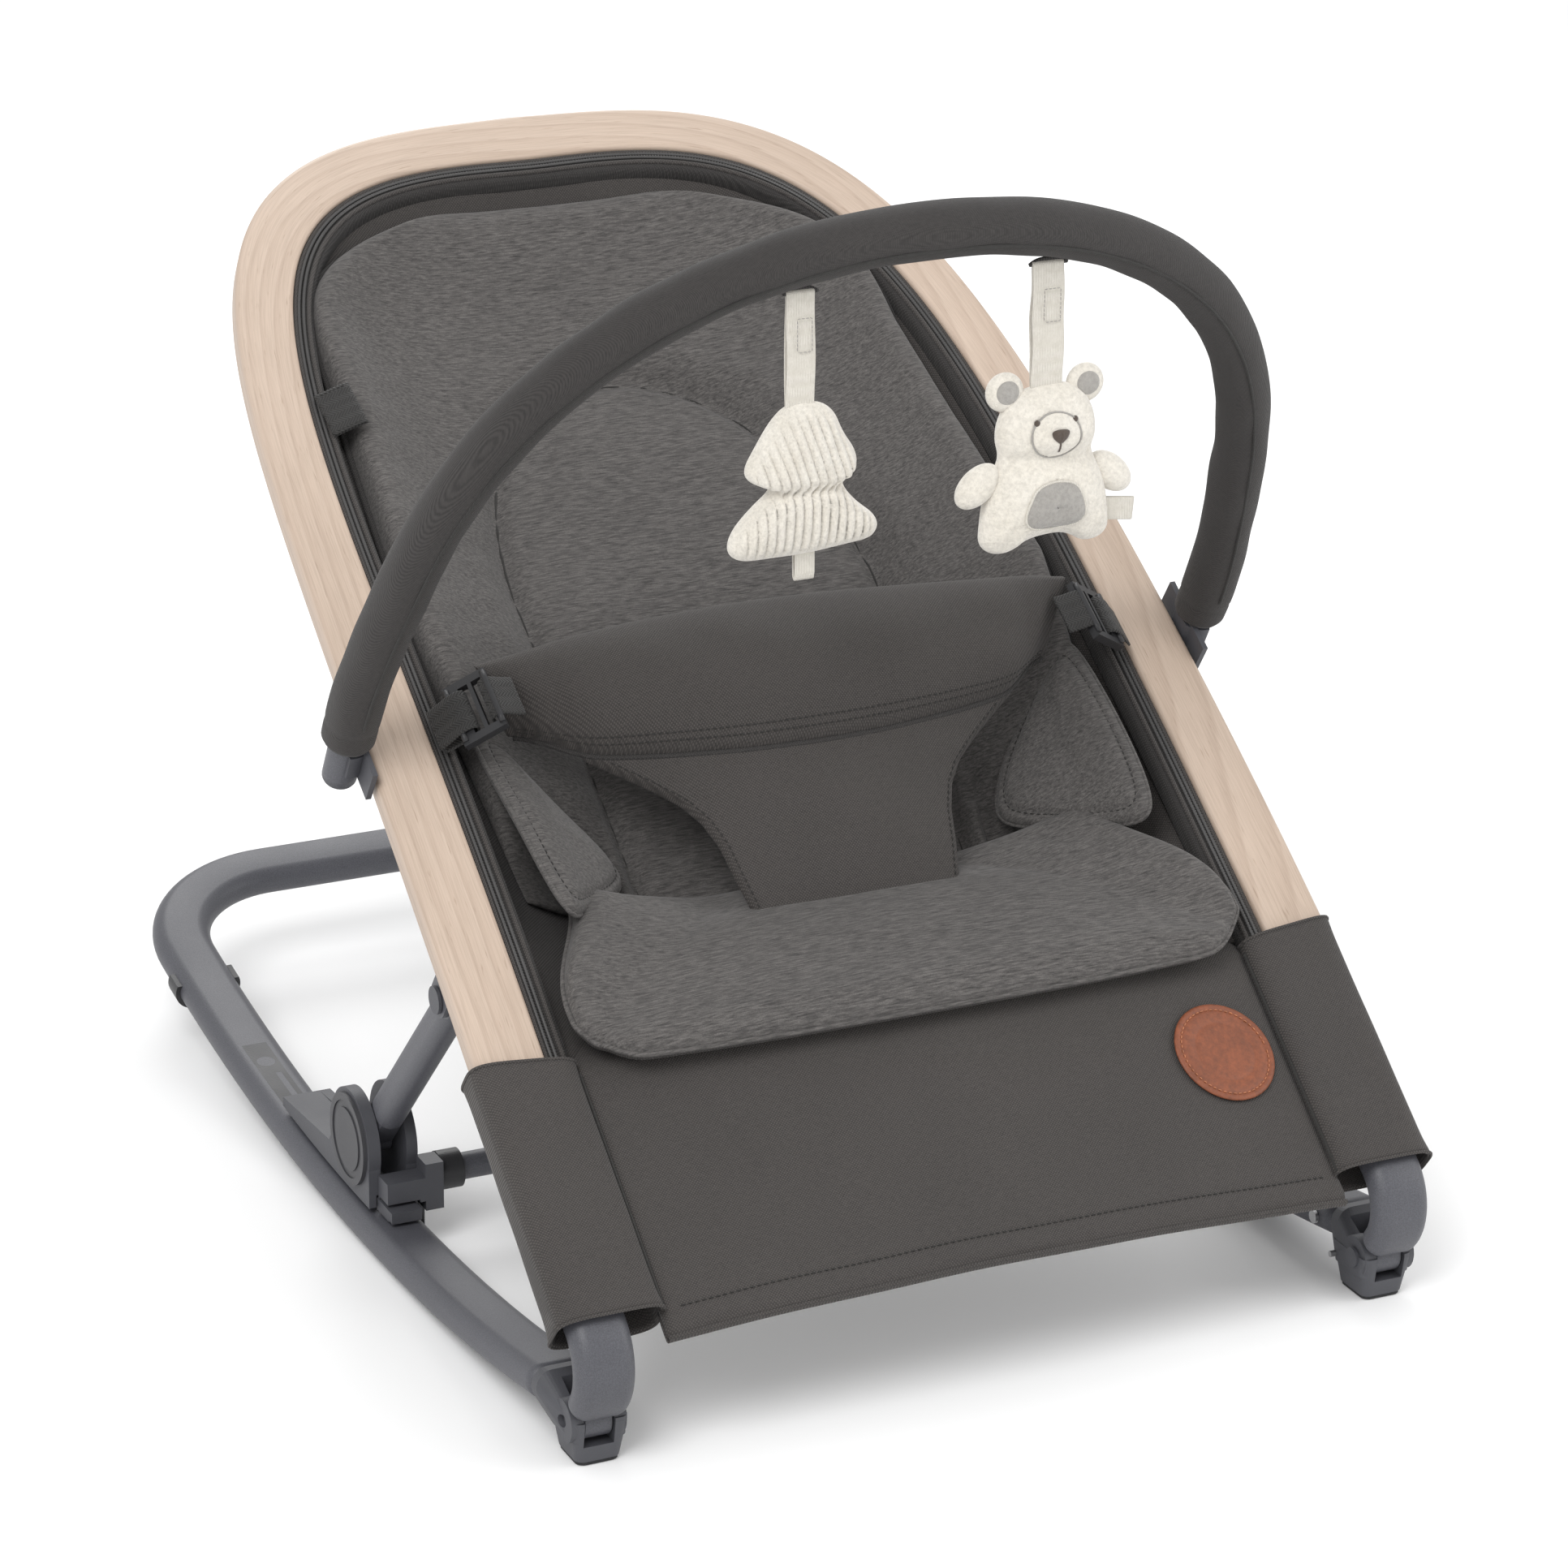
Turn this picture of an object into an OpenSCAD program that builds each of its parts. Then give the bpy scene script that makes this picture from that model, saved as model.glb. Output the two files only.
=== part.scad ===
// Folding baby bouncer: rocker base, tilting seat frame with a wood trim, padded cover, toy bar.
// X runs across the seat, +Y points to the back and +Z up. The origin is the middle of the footprint.

/* [Base] */
// Width of the flat oval base tube
base_tube_w = 30; // [28:1:32]
// Height of the flat oval base tube
base_tube_h = 16; // [15:1:17]
// Wall of the steel tubes
tube_wall = 1.6; // [1.2:0.2:2]
// Distance of each runner from the middle
runner_x = 202; // [200:1:206]
// Rocking radius of the runners
rocker_r = 1300; // [1200:50:1500]
// Centre-line radius of the two rear bends
bow_r = 65; // [60:1:75]

/* [Seat frame] */
// Tilt of the seat frame
seat_tilt = 32.2; // [31.5:0.1:32.5]
// Height of the trim's lower end above the floor
seat_z = 149; // [148:1:150]
// Half width of the trim at its lower end
trim_half_w = 215; // [213:1:216]
// Length of the trim's outer edge
trim_len = 575; // [565:1:585]
// Length of the trim's inner edge
trim_inner_len = 543; // [538:1:546]
// Height of the trim's side profile at mid length
trim_bulge = 13.6; // [10:0.2:15]
// Width of the flat oval seat tube
seat_tube_w = 28; // [27:0.5:28.5]
// Height of the flat oval seat tube
seat_tube_h = 15; // [14:0.5:15.5]
// Distance of each seat leg from the middle
leg_x = 199; // [198.5:0.25:199.5]
// Bend radius of the seat legs
leg_r = 24; // [23:0.5:25]

/* [Recline link] */
// Width of a strut tube
strut_w = 14; // [12:0.5:15]
// Depth of a strut tube
strut_d = 19; // [17:1:20]
// Radius of the bar between the carriages
cross_bar_r = 6.5; // [5:0.5:7]

/* [Toy bar] */
// Radius of the toy bar tube
bar_r = 8.2; // [8:0.1:8.4]
// Outer radius of the fabric sleeve
sleeve_r = 13.2; // [12.5:0.1:13.5]
// Rise of the arch along its own plane
arch_rise = 287; // [270:1:295]
// Half width of the arch above its legs
arch_half_w = 215.5; // [213:0.5:217]
// Forward lean of the arch
arch_lean = 30; // [28:0.5:31]

/* [Cover] */
// Depth of the fabric sling behind the back, below the trim
sling_depth = 52; // [46:1:53]
// Extra depth of the sling at its crease
crease_drop = 16; // [10:1:17]
// Thickness of the sling fabric with its backing
sling_t = 3; // [2:0.5:4]
// Thickness of the seat cushion
seat_pad_t = 20; // [18:1:24]
// Thickness of the back cushion
back_pad_t = 12; // [10:1:14]

/* [Hidden] */
$fn = 48;

// The layout below is drawn with y = 0 at the trim's lower end, then moved back by half the reach.
front_y = -109.07;
rear_y = 523.21;
mid_y = (front_y + rear_y) / 2;

rocker_y = 160;
rocker_line_r = rocker_r - base_tube_h / 2;
cap_seam_y = -58;
bow_start_y = 445;
hinge = [-82, 20];
pin_r = 3;
run_gap = 0.05;

bracket_pivot = [69, 160];
foot_pivot = [182, 46];
strut_pin_r = 4;
strut_x = 198.5;
strut_angle = atan2(foot_pivot[1] - bracket_pivot[1], foot_pivot[0] - bracket_pivot[0]);
strut_len = norm(foot_pivot - bracket_pivot);

leg_centre = [-73.5, 47];
leg_slope = 38;
leg_straight = 73.2;

trim_inner_half_w = 182.5;
trim_taper = 0.0228;
trim_inner_taper = 0.0156;
trim_depth = 12;
trim_wall = 3.6;
seat_tube_depth = trim_wall + 0.3 + seat_tube_h / 2;
rail_low_u = -46;
trim_low_u = -14;
rail_steps = 22;

bar_leg_x = 220.5;
bar_leg_v = 14;
bar_end_v = -26;
bar_foot = [144.5, 261];
splay_v = 110;

tree_x = -60;
bear_x = 60;

steel = [0.33, 0.33, 0.36];
plastic = [0.3, 0.3, 0.33];
dark = [0.13, 0.13, 0.14];
wood = [0.82, 0.74, 0.66];
melange = [0.34, 0.33, 0.32];
twill = [0.27, 0.26, 0.25];
cream = [0.93, 0.9, 0.85];
tan_leather = [0.6, 0.32, 0.18];

// ---------- shared geometry ----------

function arc_angle(y) = asin((y - rocker_y) / rocker_line_r);
function bulge(u) = 4 * trim_bulge * (u / trim_len) * (1 - u / trim_len);
function outline_w(u, half, taper, len, m, n) =
    (half - taper * u) * pow(max(0, 1 - pow(max(u, 0) / len, m)), 1 / n);
function outer_w(u) = outline_w(u, trim_half_w, trim_taper, trim_len, 6.5, 2.9);
function inner_w(u) = outline_w(min(u, trim_inner_len), trim_inner_half_w, trim_inner_taper,
    trim_inner_len, 5.5, 3.8);

// Station t runs from 0 at the trim's lower end to 1 at the top, with finer steps in the arch.
function along(t, len) = t < 0 ? t * len : len * (1 - pow(1 - t, 2.2));
function station_outer(t) = [outer_w(along(t, trim_len)), along(t, trim_len)];
function station_inner(t) = [inner_w(along(t, trim_inner_len)), along(t, trim_inner_len)];

// A point of the rail's section: a is measured across it, d down from its face.
function rail_point(s, a, d) =
    let (t = 1 - abs(s), o = station_outer(t), i = station_inner(t),
        mid = (o + i) / 2, across = (o - i) / norm(o - i), p = mid + across * a)
    [s < 0 ? -p[0] : p[0], p[1], bulge(p[1]) - d];
function stations(low_u) = let (low = 1 - low_u / trim_len)
    [-low, for (k = [0 : 2 * rail_steps]) k / rail_steps - 1, low];

function oval_ring(w, h, sides) = [for (k = [0 : sides - 1])
    let (q = 360 * (k + 0.5) / sides, r = h / 2, c = cos(q), straight = w / 2 - r)
    [(c > 0 ? straight : -straight) + r * c, r * sin(q)]];

// Faces of a row of equal rings. A closed row meets itself, an open one is capped.
function ring_faces(rings, sides, closed) = [
    for (i = [0 : rings - (closed ? 1 : 2)], j = [0 : sides - 1])
        let (a = i * sides + j, b = i * sides + (j + 1) % sides,
            c = ((i + 1) % rings) * sides + (j + 1) % sides, d = ((i + 1) % rings) * sides + j)
        each [[a, b, c], [a, c, d]],
    if (!closed) [for (j = [sides - 1 : -1 : 0]) j],
    if (!closed) [for (j = [0 : sides - 1]) (rings - 1) * sides + j]];

module sweep(rings, closed = false) {
    sides = len(rings[0]);
    polyhedron([for (r = rings) each r], ring_faces(len(rings), sides, closed), convexity = 8);
}

// A closed slab between two grids of points with the same rows and columns.
module slab(top, bottom) {
    rows = len(top);
    cols = len(top[0]);
    n = rows * cols;
    points = [for (r = top) each r, for (r = bottom) each r];
    up = [for (i = [0 : rows - 2], j = [0 : cols - 2])
        let (a = i * cols + j, b = a + 1, c = a + cols + 1, d = a + cols)
        each [[a, d, c], [a, c, b]]];
    down = [for (f = up) [f[2] + n, f[1] + n, f[0] + n]];
    rim = [for (i = [0 : rows - 2]) i * cols,
        for (j = [0 : cols - 2]) (rows - 1) * cols + j,
        for (i = [rows - 1 : -1 : 1]) i * cols + cols - 1,
        for (j = [cols - 1 : -1 : 1]) j];
    m = len(rim);
    side = [for (k = [0 : m - 1]) let (a = rim[k], b = rim[(k + 1) % m])
        each [[a, a + n, b + n], [a, b + n, b]]];
    polyhedron(concat(points), concat(up, down, side), convexity = 8);
}

module in_place() { translate([0, -mid_y, 0]) children(); }
module in_seat() { in_place() translate([0, 0, seat_z]) rotate([seat_tilt, 0, 0]) children(); }
module both_sides() {
    children();
    mirror([1, 0, 0]) children();
}
module on_side(side) { mirror([side < 0 ? 1 : 0, 0, 0]) children(); }
module across_x(x, len, r) { translate([x, 0, 0]) rotate([0, 90, 0]) cylinder(h = len, r = r, center = true); }

// Flat oval with its length along the second axis.
module oval(thick, wide) {
    square([thick, wide - thick], center = true);
    for (s = [-1, 1]) translate([0, s * (wide - thick) / 2]) circle(r = thick / 2);
}

// Turns a profile about the rocking axis, from y0 to y1. Profile: radius, then x.
module along_rocker(y0, y1) {
    translate([0, rocker_y, rocker_r]) rotate([0, 90, 0]) rotate([0, 0, arc_angle(y0)])
        rotate_extrude(angle = arc_angle(y1) - arc_angle(y0), $fn = 1080) children();
}

// Places children at a point of the runner, with Y along it and Z square to it.
module at_runner(y) {
    a = arc_angle(y);
    translate([0, y, rocker_r - rocker_line_r * cos(a)]) rotate([a, 0, 0]) children();
}

// ---------- base ----------

runner_steps = 26;
bow_steps = 9;

// One section of the base tube: where it is, which way is out and which way is up.
function runner_station(y) = let (a = arc_angle(y))
    [[runner_x, y, rocker_r - rocker_line_r * cos(a)], [1, 0, 0], [0, -sin(a), cos(a)]];
function bow_station(b) = let (a = arc_angle(bow_start_y), out = [cos(b), sin(b) * cos(a), sin(b) * sin(a)])
    [[runner_x - bow_r, bow_start_y, rocker_r - rocker_line_r * cos(a)] + bow_r * out, out, [0, -sin(a), cos(a)]];
function flip(v) = [-v[0], v[1], v[2]];
function base_half(front) = [for (k = [0 : runner_steps - 1]) runner_station(front + (bow_start_y - front) * k / runner_steps),
    for (k = [0 : bow_steps]) bow_station(90 * k / bow_steps)];
function base_stations(front) = let (h = base_half(front), n = len(h))
    concat(h, [for (k = [n - 1 : -1 : 0]) [flip(h[k][0]), flip(h[k][1]), h[k][2]]]);
function place_ring(st, ring) = [for (p = ring) st[0] + p[0] * st[1] + p[1] * st[2]];

module base_loop() {
    st = base_stations(cap_seam_y);
    n = len(st);
    outer = oval_ring(base_tube_w, base_tube_h, 20);
    inner = oval_ring(base_tube_w - 2 * tube_wall, base_tube_h - 2 * tube_wall, 20);
    sweep([for (q = st) place_ring(q, outer), for (k = [n - 1 : -1 : 0]) place_ring(st[k], inner)], closed = true);
}

track_y0 = 205;
track_y1 = 346;
track_x = runner_x;
track_w = 13;
track_depth = 1.1;
track_screw_y = 328;

module base_tube() {
    color(steel) in_place() difference() {
        base_loop();
        both_sides() along_rocker(track_y0, track_y1)
            translate([rocker_r - base_tube_h + track_depth / 2 - 1, track_x])
                square([track_depth + 2, track_w], center = true);
        both_sides() at_runner(track_screw_y) translate([track_x, 0, 0]) cylinder(h = 20, r = 2.2);
    }
}

foot_w = 24;
foot_x = 198;
foot_back_y = -62;
foot_front_y = -93;
cheek_r = 10;
slot_w = 14.4;
sole_t = 1.6;

module foot_block(w, d, z, h) {
    translate([foot_x, (foot_back_y + foot_front_y) / 2, z])
        linear_extrude(height = h) offset(r = 4, $fn = 24) square([w - 8, d - 8], center = true);
}

module front_cap(side) {
    d = foot_back_y - foot_front_y;
    color(plastic) in_place() on_side(side) difference() {
        union() {
            at_runner(cap_seam_y) translate([runner_x, 18.2, 0]) rotate([90, 0, 0])
                linear_extrude(height = 22) rotate(90)
                    oval(base_tube_h - 2 * tube_wall - 0.5, base_tube_w - 2 * tube_wall - 0.5);
            hull() {
                at_runner(cap_seam_y - 0.2) translate([runner_x, 0, 0]) rotate([90, 0, 0])
                    linear_extrude(height = 6) rotate(90) oval(base_tube_h, base_tube_w, $fn = 32);
                foot_block(foot_w + 2, d - 4, 12, 9);
            }
            hull() {
                foot_block(foot_w - 3, d - 7, sole_t, 1);
                foot_block(foot_w + 2, d, 20, 2);
            }
            translate([0, hinge[0], hinge[1]]) across_x(foot_x + 1, foot_w + 2, cheek_r);
        }
        translate([leg_x - slot_w / 2, -110, hinge[1] - 10.5]) cube([slot_w, 43, 60]);
        translate([0, hinge[0], hinge[1]]) across_x(foot_x, 60, pin_r + 0.02);
        translate([foot_x - 13, -66, 15]) rotate([0, 90, 0]) cylinder(h = 8, r = 1.6, center = true);
    }
}

module front_soles() {
    d = foot_back_y - foot_front_y;
    color(dark) in_place() both_sides() foot_block(foot_w - 4, d - 8, 0, sole_t - 0.02);
}

module front_hinge_pins() {
    color([0.6, 0.6, 0.62]) in_place() both_sides() translate([0, hinge[0], hinge[1]]) {
        across_x(foot_x + 0.5, foot_w, pin_r);
        across_x(foot_x - 13.2, 1.6, pin_r + 1.8);
    }
}

module cap_rivets() {
    color([0.5, 0.5, 0.52]) in_place() both_sides() {
        at_runner(-44) translate([runner_x - base_tube_w / 2 - 0.85, 0, 0]) rotate([0, 90, 0])
            cylinder(h = 1.6, r = 3.2, center = true);
        translate([foot_x - 14, -66, 15]) rotate([0, 90, 0]) cylinder(h = 3.4, r = 1.5, center = true);
    }
}

module rear_pads() {
    pad = 2.4;
    color(dark) in_place() both_sides() along_rocker(414, 426)
        translate([rocker_line_r, runner_x]) difference() {
            oval(base_tube_h + 2 * pad, base_tube_w + 2 * pad);
            oval(base_tube_h + 0.1, base_tube_w + 0.1);
            translate([-14, 0]) square([20, 60], center = true);
        }
}

module track_plate(side) {
    gap = 0.1;
    color(dark) in_place() on_side(side) difference() {
        along_rocker(track_y0 + gap, track_y1 - gap)
            translate([rocker_r - base_tube_h + track_depth / 2 - gap / 2, track_x])
                square([track_depth - gap, track_w - 2 * gap], center = true);
        at_runner(track_screw_y) translate([track_x, 0, 0]) cylinder(h = 20, r = 4.6);
        along_rocker(track_y0 + 8, track_y1 - 30)
            translate([rocker_r - base_tube_h - 0.5, track_x - 2.2]) square([2, 3], center = true);
    }
}

module track_screws() {
    color([0.5, 0.5, 0.52]) in_place() both_sides() at_runner(track_screw_y)
        translate([track_x, 0, 0]) difference() {
            union() {
                translate([0, 0, 2]) cylinder(h = 5, r = 2.1);
                translate([0, 0, base_tube_h / 2 - track_depth + 0.05]) cylinder(h = 0.9, r = 4.1);
            }
            translate([0, 0, base_tube_h / 2 - 0.8]) cylinder(h = 3, r = 1.5);
        }
}

// ---------- seat frame ----------

module rail_tube() {
    outer = oval_ring(seat_tube_w, seat_tube_h, 16);
    inner = oval_ring(seat_tube_w - 2 * tube_wall, seat_tube_h - 2 * tube_wall, 16);
    st = stations(rail_low_u);
    n = len(st);
    sweep([for (s = st) [for (p = outer) rail_point(s, -p[0], seat_tube_depth - p[1])],
        for (k = [n - 1 : -1 : 0]) [for (p = inner) rail_point(st[k], -p[0], seat_tube_depth - p[1])]],
        closed = true);
}

module seat_tube() { color(steel) in_seat() rail_tube(); }

leg_low_a = 312;
leg_high_a = 180 + leg_slope;
leg_steps = 10;

// One section of a leg: the bend up to its end, then the straight part.
function leg_bend(a) = [[leg_x, leg_centre[0] + leg_r * sin(a), leg_centre[1] - leg_r * cos(a)],
    [1, 0, 0], [0, sin(a), -cos(a)]];
function leg_at(d) = let (b = leg_bend(leg_high_a)) [b[0] + d * [0, cos(leg_slope), sin(leg_slope)], b[1], b[2]];
function leg_stations(low, reach) = [for (k = [0 : leg_steps]) leg_bend(low + (leg_high_a - low) * k / leg_steps),
    for (d = [reach / 2, reach]) leg_at(d)];

module leg_shell() {
    outer = oval_ring(seat_tube_w, seat_tube_h, 20);
    inner = oval_ring(seat_tube_w - 2 * tube_wall, seat_tube_h - 2 * tube_wall, 20);
    difference() {
        sweep([for (q = leg_stations(leg_low_a, leg_straight)) place_ring(q, outer)]);
        sweep([for (q = leg_stations(leg_low_a - 12, leg_straight + 2)) place_ring(q, inner)]);
    }
}

module leg_plug() {
    fit = oval_ring(seat_tube_w - 2 * tube_wall + 0.4, seat_tube_h - 2 * tube_wall + 0.4, 20);
    free = oval_ring(seat_tube_w - 2 * tube_wall - 1.6, seat_tube_h - 2 * tube_wall - 1.6, 20);
    sweep([for (d = [leg_straight - 14, leg_straight - 0.4]) place_ring(leg_at(d), fit)]);
    sweep([for (d = [leg_straight - 4, leg_straight + 24]) place_ring(leg_at(d), free)]);
}

module seat_leg(side) {
    tongue_w = slot_w - 0.6;
    tongue_h = seat_tube_h - 2;
    tongue = [[-tongue_w, -tongue_h], [-tongue_w, tongue_h], [tongue_w, tongue_h], [tongue_w, -tongue_h]] / 2;
    color(steel) in_place() on_side(side) difference() {
        union() {
            leg_shell();
            leg_plug();
            sweep([for (a = [334 : -8 : 302]) place_ring(leg_bend(a), [for (k = [3 : -1 : 0]) tongue[k]])]);
            translate([0, hinge[0], hinge[1]]) across_x(leg_x, tongue_w, 9.5);
        }
        translate([0, hinge[0], hinge[1]]) across_x(leg_x, 60, pin_r + run_gap);
    }
}

module wood_trim() {
    half = 16.2;
    in_half = half - 2.2;
    round = 3;
    top = trim_wall;
    section = [[-half, trim_depth], [-half, round], [-half + 0.9, 0.9], [-half + round, 0],
        [half - round, 0], [half - 0.9, 0.9], [half, round], [half, trim_depth],
        [in_half + 0.1, trim_depth], [in_half + 0.1, top], [-in_half - 0.1, top], [-in_half - 0.1, trim_depth]];
    st = stations(trim_low_u);
    color(wood) in_seat() sweep([for (s = st) [for (p = section) rail_point(s, p[0], p[1])]]);
}

ear_t = 2.4;
ear_gap = strut_w + 0.6;

module strut_bracket(side) {
    color(steel) in_place() on_side(side) difference() {
        union() {
            for (s = [-1, 1]) translate([strut_x + s * (ear_gap + ear_t) / 2, bracket_pivot[0], bracket_pivot[1]]) {
                rotate([0, 90, 0]) cylinder(h = ear_t, r = 8.5, center = true);
                rotate([seat_tilt + 4.3, 0, 0]) translate([0, 0, 6.2]) cube([ear_t, 17, 12.4], center = true);
            }
            translate([strut_x, bracket_pivot[0], bracket_pivot[1]]) rotate([seat_tilt + 4.3, 0, 0])
                translate([0, 0, 12.4]) cube([ear_gap + 2 * ear_t, 30, 2], center = true);
        }
        translate([0, bracket_pivot[0], bracket_pivot[1]]) across_x(strut_x, 60, strut_pin_r + 0.02);
    }
}

module bracket_pins() {
    reach = ear_gap + 2 * ear_t + 0.8;
    color([0.25, 0.25, 0.27]) in_place() both_sides()
        translate([0, bracket_pivot[0], bracket_pivot[1]]) {
            across_x(strut_x, reach, strut_pin_r);
            across_x(strut_x + reach / 2 + 0.8, 1.6, 6.5);
            across_x(strut_x - reach / 2 - 0.6, 1.2, 5.5);
        }
}

// Frame of one toy bar leg: origin at the sleeve's lower end, Z along the leg.
module at_bar_leg() {
    translate([bar_leg_x, bar_foot[0], bar_foot[1]]) rotate([arch_lean, 0, 0]) children();
}

module bar_clip(side) {
    plate_x = outer_w(184) + 2.4;
    color(plastic) in_place() on_side(side) difference() {
        union() {
            translate([0, 0, seat_z]) rotate([seat_tilt + 2.2, 0, 0]) translate([plate_x, 172, 2])
                translate([0, -12, -8]) cube([2.6, 42, 18]);
            at_bar_leg() translate([0, 0, -14.5]) intersection() {
                cylinder(h = 13.5, r = bar_r + 2.6);
                translate([-9, -20, 0]) cube([11, 40, 20]);
            }
        }
        at_bar_leg() translate([0, 0, -60]) cylinder(h = 110, r = bar_r + run_gap + 0.03);
    }
}

// ---------- cover and padding ----------

sling_low_u = 7;
sling_top_u = 538;
crease_u = 108;

// Depth of the sling's middle below the trim face.
function sling_back(u) = (sling_depth + crease_drop * exp(-pow((u - crease_u) / 70, 2)))
    * (1 - pow((u - crease_u) / (sling_top_u - crease_u), 7)) + 1;
function sling_mid(u) = u > crease_u ? sling_back(u)
    : 14 + (sling_back(crease_u) - 14) * (u - sling_low_u) / (crease_u - sling_low_u);
function sling_n(u, c) = bulge(u) - 4 - sling_mid(u) * (1 - pow(abs(c), 3.4));
function sling_half(u) = inner_w(u) - 2.5;

cover_rows = 22;
cover_cols = 16;

module seat_cover() {
    us = [for (k = [0 : cover_rows]) sling_low_u + (sling_top_u - sling_low_u) * sin(90 * k / cover_rows)];
    cs = [for (j = [0 : cover_cols]) sin(180 * (j / cover_cols - 0.5))];
    top = [for (u = us) [for (c = cs) [c * sling_half(u), u, sling_n(u, c)]]];
    bottom = [for (u = us) [for (c = cs) [c * sling_half(u), u, sling_n(u, c) - sling_t]]];
    color(twill) in_seat() slab(top, bottom);
}

module zip_tape() {
    section = [[-1.2, 3.4], [-1.2, 1.6], [1.2, 1.6], [1.2, 3.4]];
    st = [for (k = [0 : 2 * rail_steps]) k / rail_steps - 1];
    color(dark) in_seat() sweep([for (s = st) [for (p = section) rail_point(s, p[0] - 20.6, p[1])]]);
}

function back_half(u) = u < 215 ? 166 - 0.78 * (215 - u) : inner_w(min(u * 1.045, 541)) - 13;
function cushion_rows(u0, u1, n) = [for (k = [0 : n]) (u0 + u1) / 2 - (u1 - u0) / 2 * cos(180 * k / n)];

// Crowned pad whose thickness fades towards its edges; k is -1 to 1 along it.
function crown(t, c, k) = t * pow(max(0, 1 - pow(abs(c), 6)), 0.5) * pow(max(0, 1 - pow(abs(k), 8)), 0.5);

module back_cushion() {
    u0 = 112;
    u1 = 518;
    us = cushion_rows(u0, u1, 14);
    cs = [for (j = [0 : 12]) sin(180 * (j / 12 - 0.5))];
    top = [for (u = us) [for (c = cs) [c * back_half(u), u,
        sling_n(u, c * back_half(u) / sling_half(u)) + 5 + crown(back_pad_t, c, (2 * u - u0 - u1) / (u1 - u0))]]];
    bottom = [for (u = us) [for (c = cs) [c * back_half(u), u,
        sling_n(u, c * back_half(u) / sling_half(u)) + 4]]];
    color(melange) in_seat() slab(top, bottom);
}

seat_pad_u0 = -14;
seat_pad_u1 = 106;
seat_pad_half = 164;
seat_pad_front_t = 12;

// Underside of the seat cushion: over the front panel first, then down onto the sling.
function seat_pad_low(u, x) = max(sling_n(max(u, sling_low_u), x / sling_half(u)) + 6,
    panel_edge_n + panel_rise + 1.5 - x * x / (2 * panel_r) - 0.65 * max(0, u));
function seat_pad_thick(u) = seat_pad_front_t + (seat_pad_t - seat_pad_front_t) * min(1, max(0, u) / 60);

module seat_cushion() {
    us = cushion_rows(seat_pad_u0, seat_pad_u1, 10);
    xs = [for (j = [0 : 12]) seat_pad_half * sin(180 * (j / 12 - 0.5))];
    bottom = [for (u = us) [for (x = xs) [x, u, seat_pad_low(u, x)]]];
    top = [for (u = us) [for (x = xs) [x, u, seat_pad_low(u, x) + 2
        + crown(seat_pad_thick(u), x / seat_pad_half, (2 * u - seat_pad_u0 - seat_pad_u1) / (seat_pad_u1 - seat_pad_u0))]]];
    color(melange) in_seat() slab(top, bottom);
}

module bolster(side) {
    color(melange) in_seat() on_side(side) hull() {
        translate([152, 176, -5]) sphere(r = 9, $fn = 20);
        translate([149, 95, 6.5]) sphere(r = 8, $fn = 20);
        translate([113, 116, -11]) sphere(r = 9, $fn = 20);
    }
}

boot_x0 = 168.5;
boot_x1 = 217;
boot_drop = 6.6;

module boot(side) {
    color(twill) in_seat() on_side(side) translate([0, 5, 2]) rotate([boot_drop, 0, 0]) rotate([90, 0, 0])
        linear_extrude(height = 124) difference() {
            translate([boot_x0, -25.5]) square([boot_x1 - boot_x0, 26]);
            translate([boot_x0 + 1.2, -24.3]) square([boot_x1 - boot_x0 - 2.4, 23.8]);
        }
}

panel_r = 1180;
panel_rise = 12;
panel_half = 168;
panel_len = 132;
panel_edge_n = -6;

module front_panel() {
    color(twill) in_seat() translate([0, -3, 0]) rotate([boot_drop, 0, 0]) rotate([90, 0, 0]) {
        linear_extrude(height = panel_len) intersection() {
            translate([0, panel_edge_n + panel_rise - panel_r]) difference() {
                circle(r = panel_r, $fn = 720);
                circle(r = panel_r - 4, $fn = 720);
            }
            translate([-panel_half, -60]) square([2 * panel_half, 100]);
        }
        translate([0, 0, panel_len - 6]) linear_extrude(height = 6) intersection() {
            translate([0, panel_edge_n + panel_rise - panel_r]) difference() {
                circle(r = panel_r - 3, $fn = 720);
                circle(r = panel_r - 16, $fn = 720);
            }
            translate([-panel_half + 6, -60]) square([2 * panel_half - 12, 100]);
        }
    }
}

patch_x = 136;
patch_u = -53;
patch_r = 25.6;

module leather_patch() {
    lean = asin(patch_x / panel_r);
    color(tan_leather) in_seat() translate([0, -3, 0]) rotate([boot_drop, 0, 0])
        translate([0, 0, panel_edge_n + panel_rise - panel_r]) rotate([0, lean, 0])
            translate([0, patch_u + 3, panel_r + 0.7]) cylinder(h = 1.4, r = patch_r);
}

module side_tag() {
    color(dark) in_seat() translate([-158, 380, bulge(380) + 3]) rotate([0, -24, 4])
        cube([18, 26, 1], center = true);
}

waist_rise = 22;
waist_half = 148;
waist_r = (waist_half * waist_half + waist_rise * waist_rise) / (2 * waist_rise);
waist_low_n = 22;

module waist_pad() {
    thick = 12;
    color(twill) in_seat() translate([0, 216, waist_low_n + waist_rise - waist_r]) rotate([90, 0, 0])
        linear_extrude(height = 58) intersection() {
            difference() {
                circle(r = waist_r + thick / 2, $fn = 360);
                circle(r = waist_r - thick / 2, $fn = 360);
            }
            translate([-waist_half, 0]) square([2 * waist_half, waist_r + thick]);
        }
}

module crotch_pad() {
    color(twill) in_seat() hull() {
        translate([0, 156.5, 41]) cube([146, 2, 6], center = true);
        translate([0, 68, -9]) cube([106, 2, 6], center = true);
    }
}

strap_lean = 36;

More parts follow.
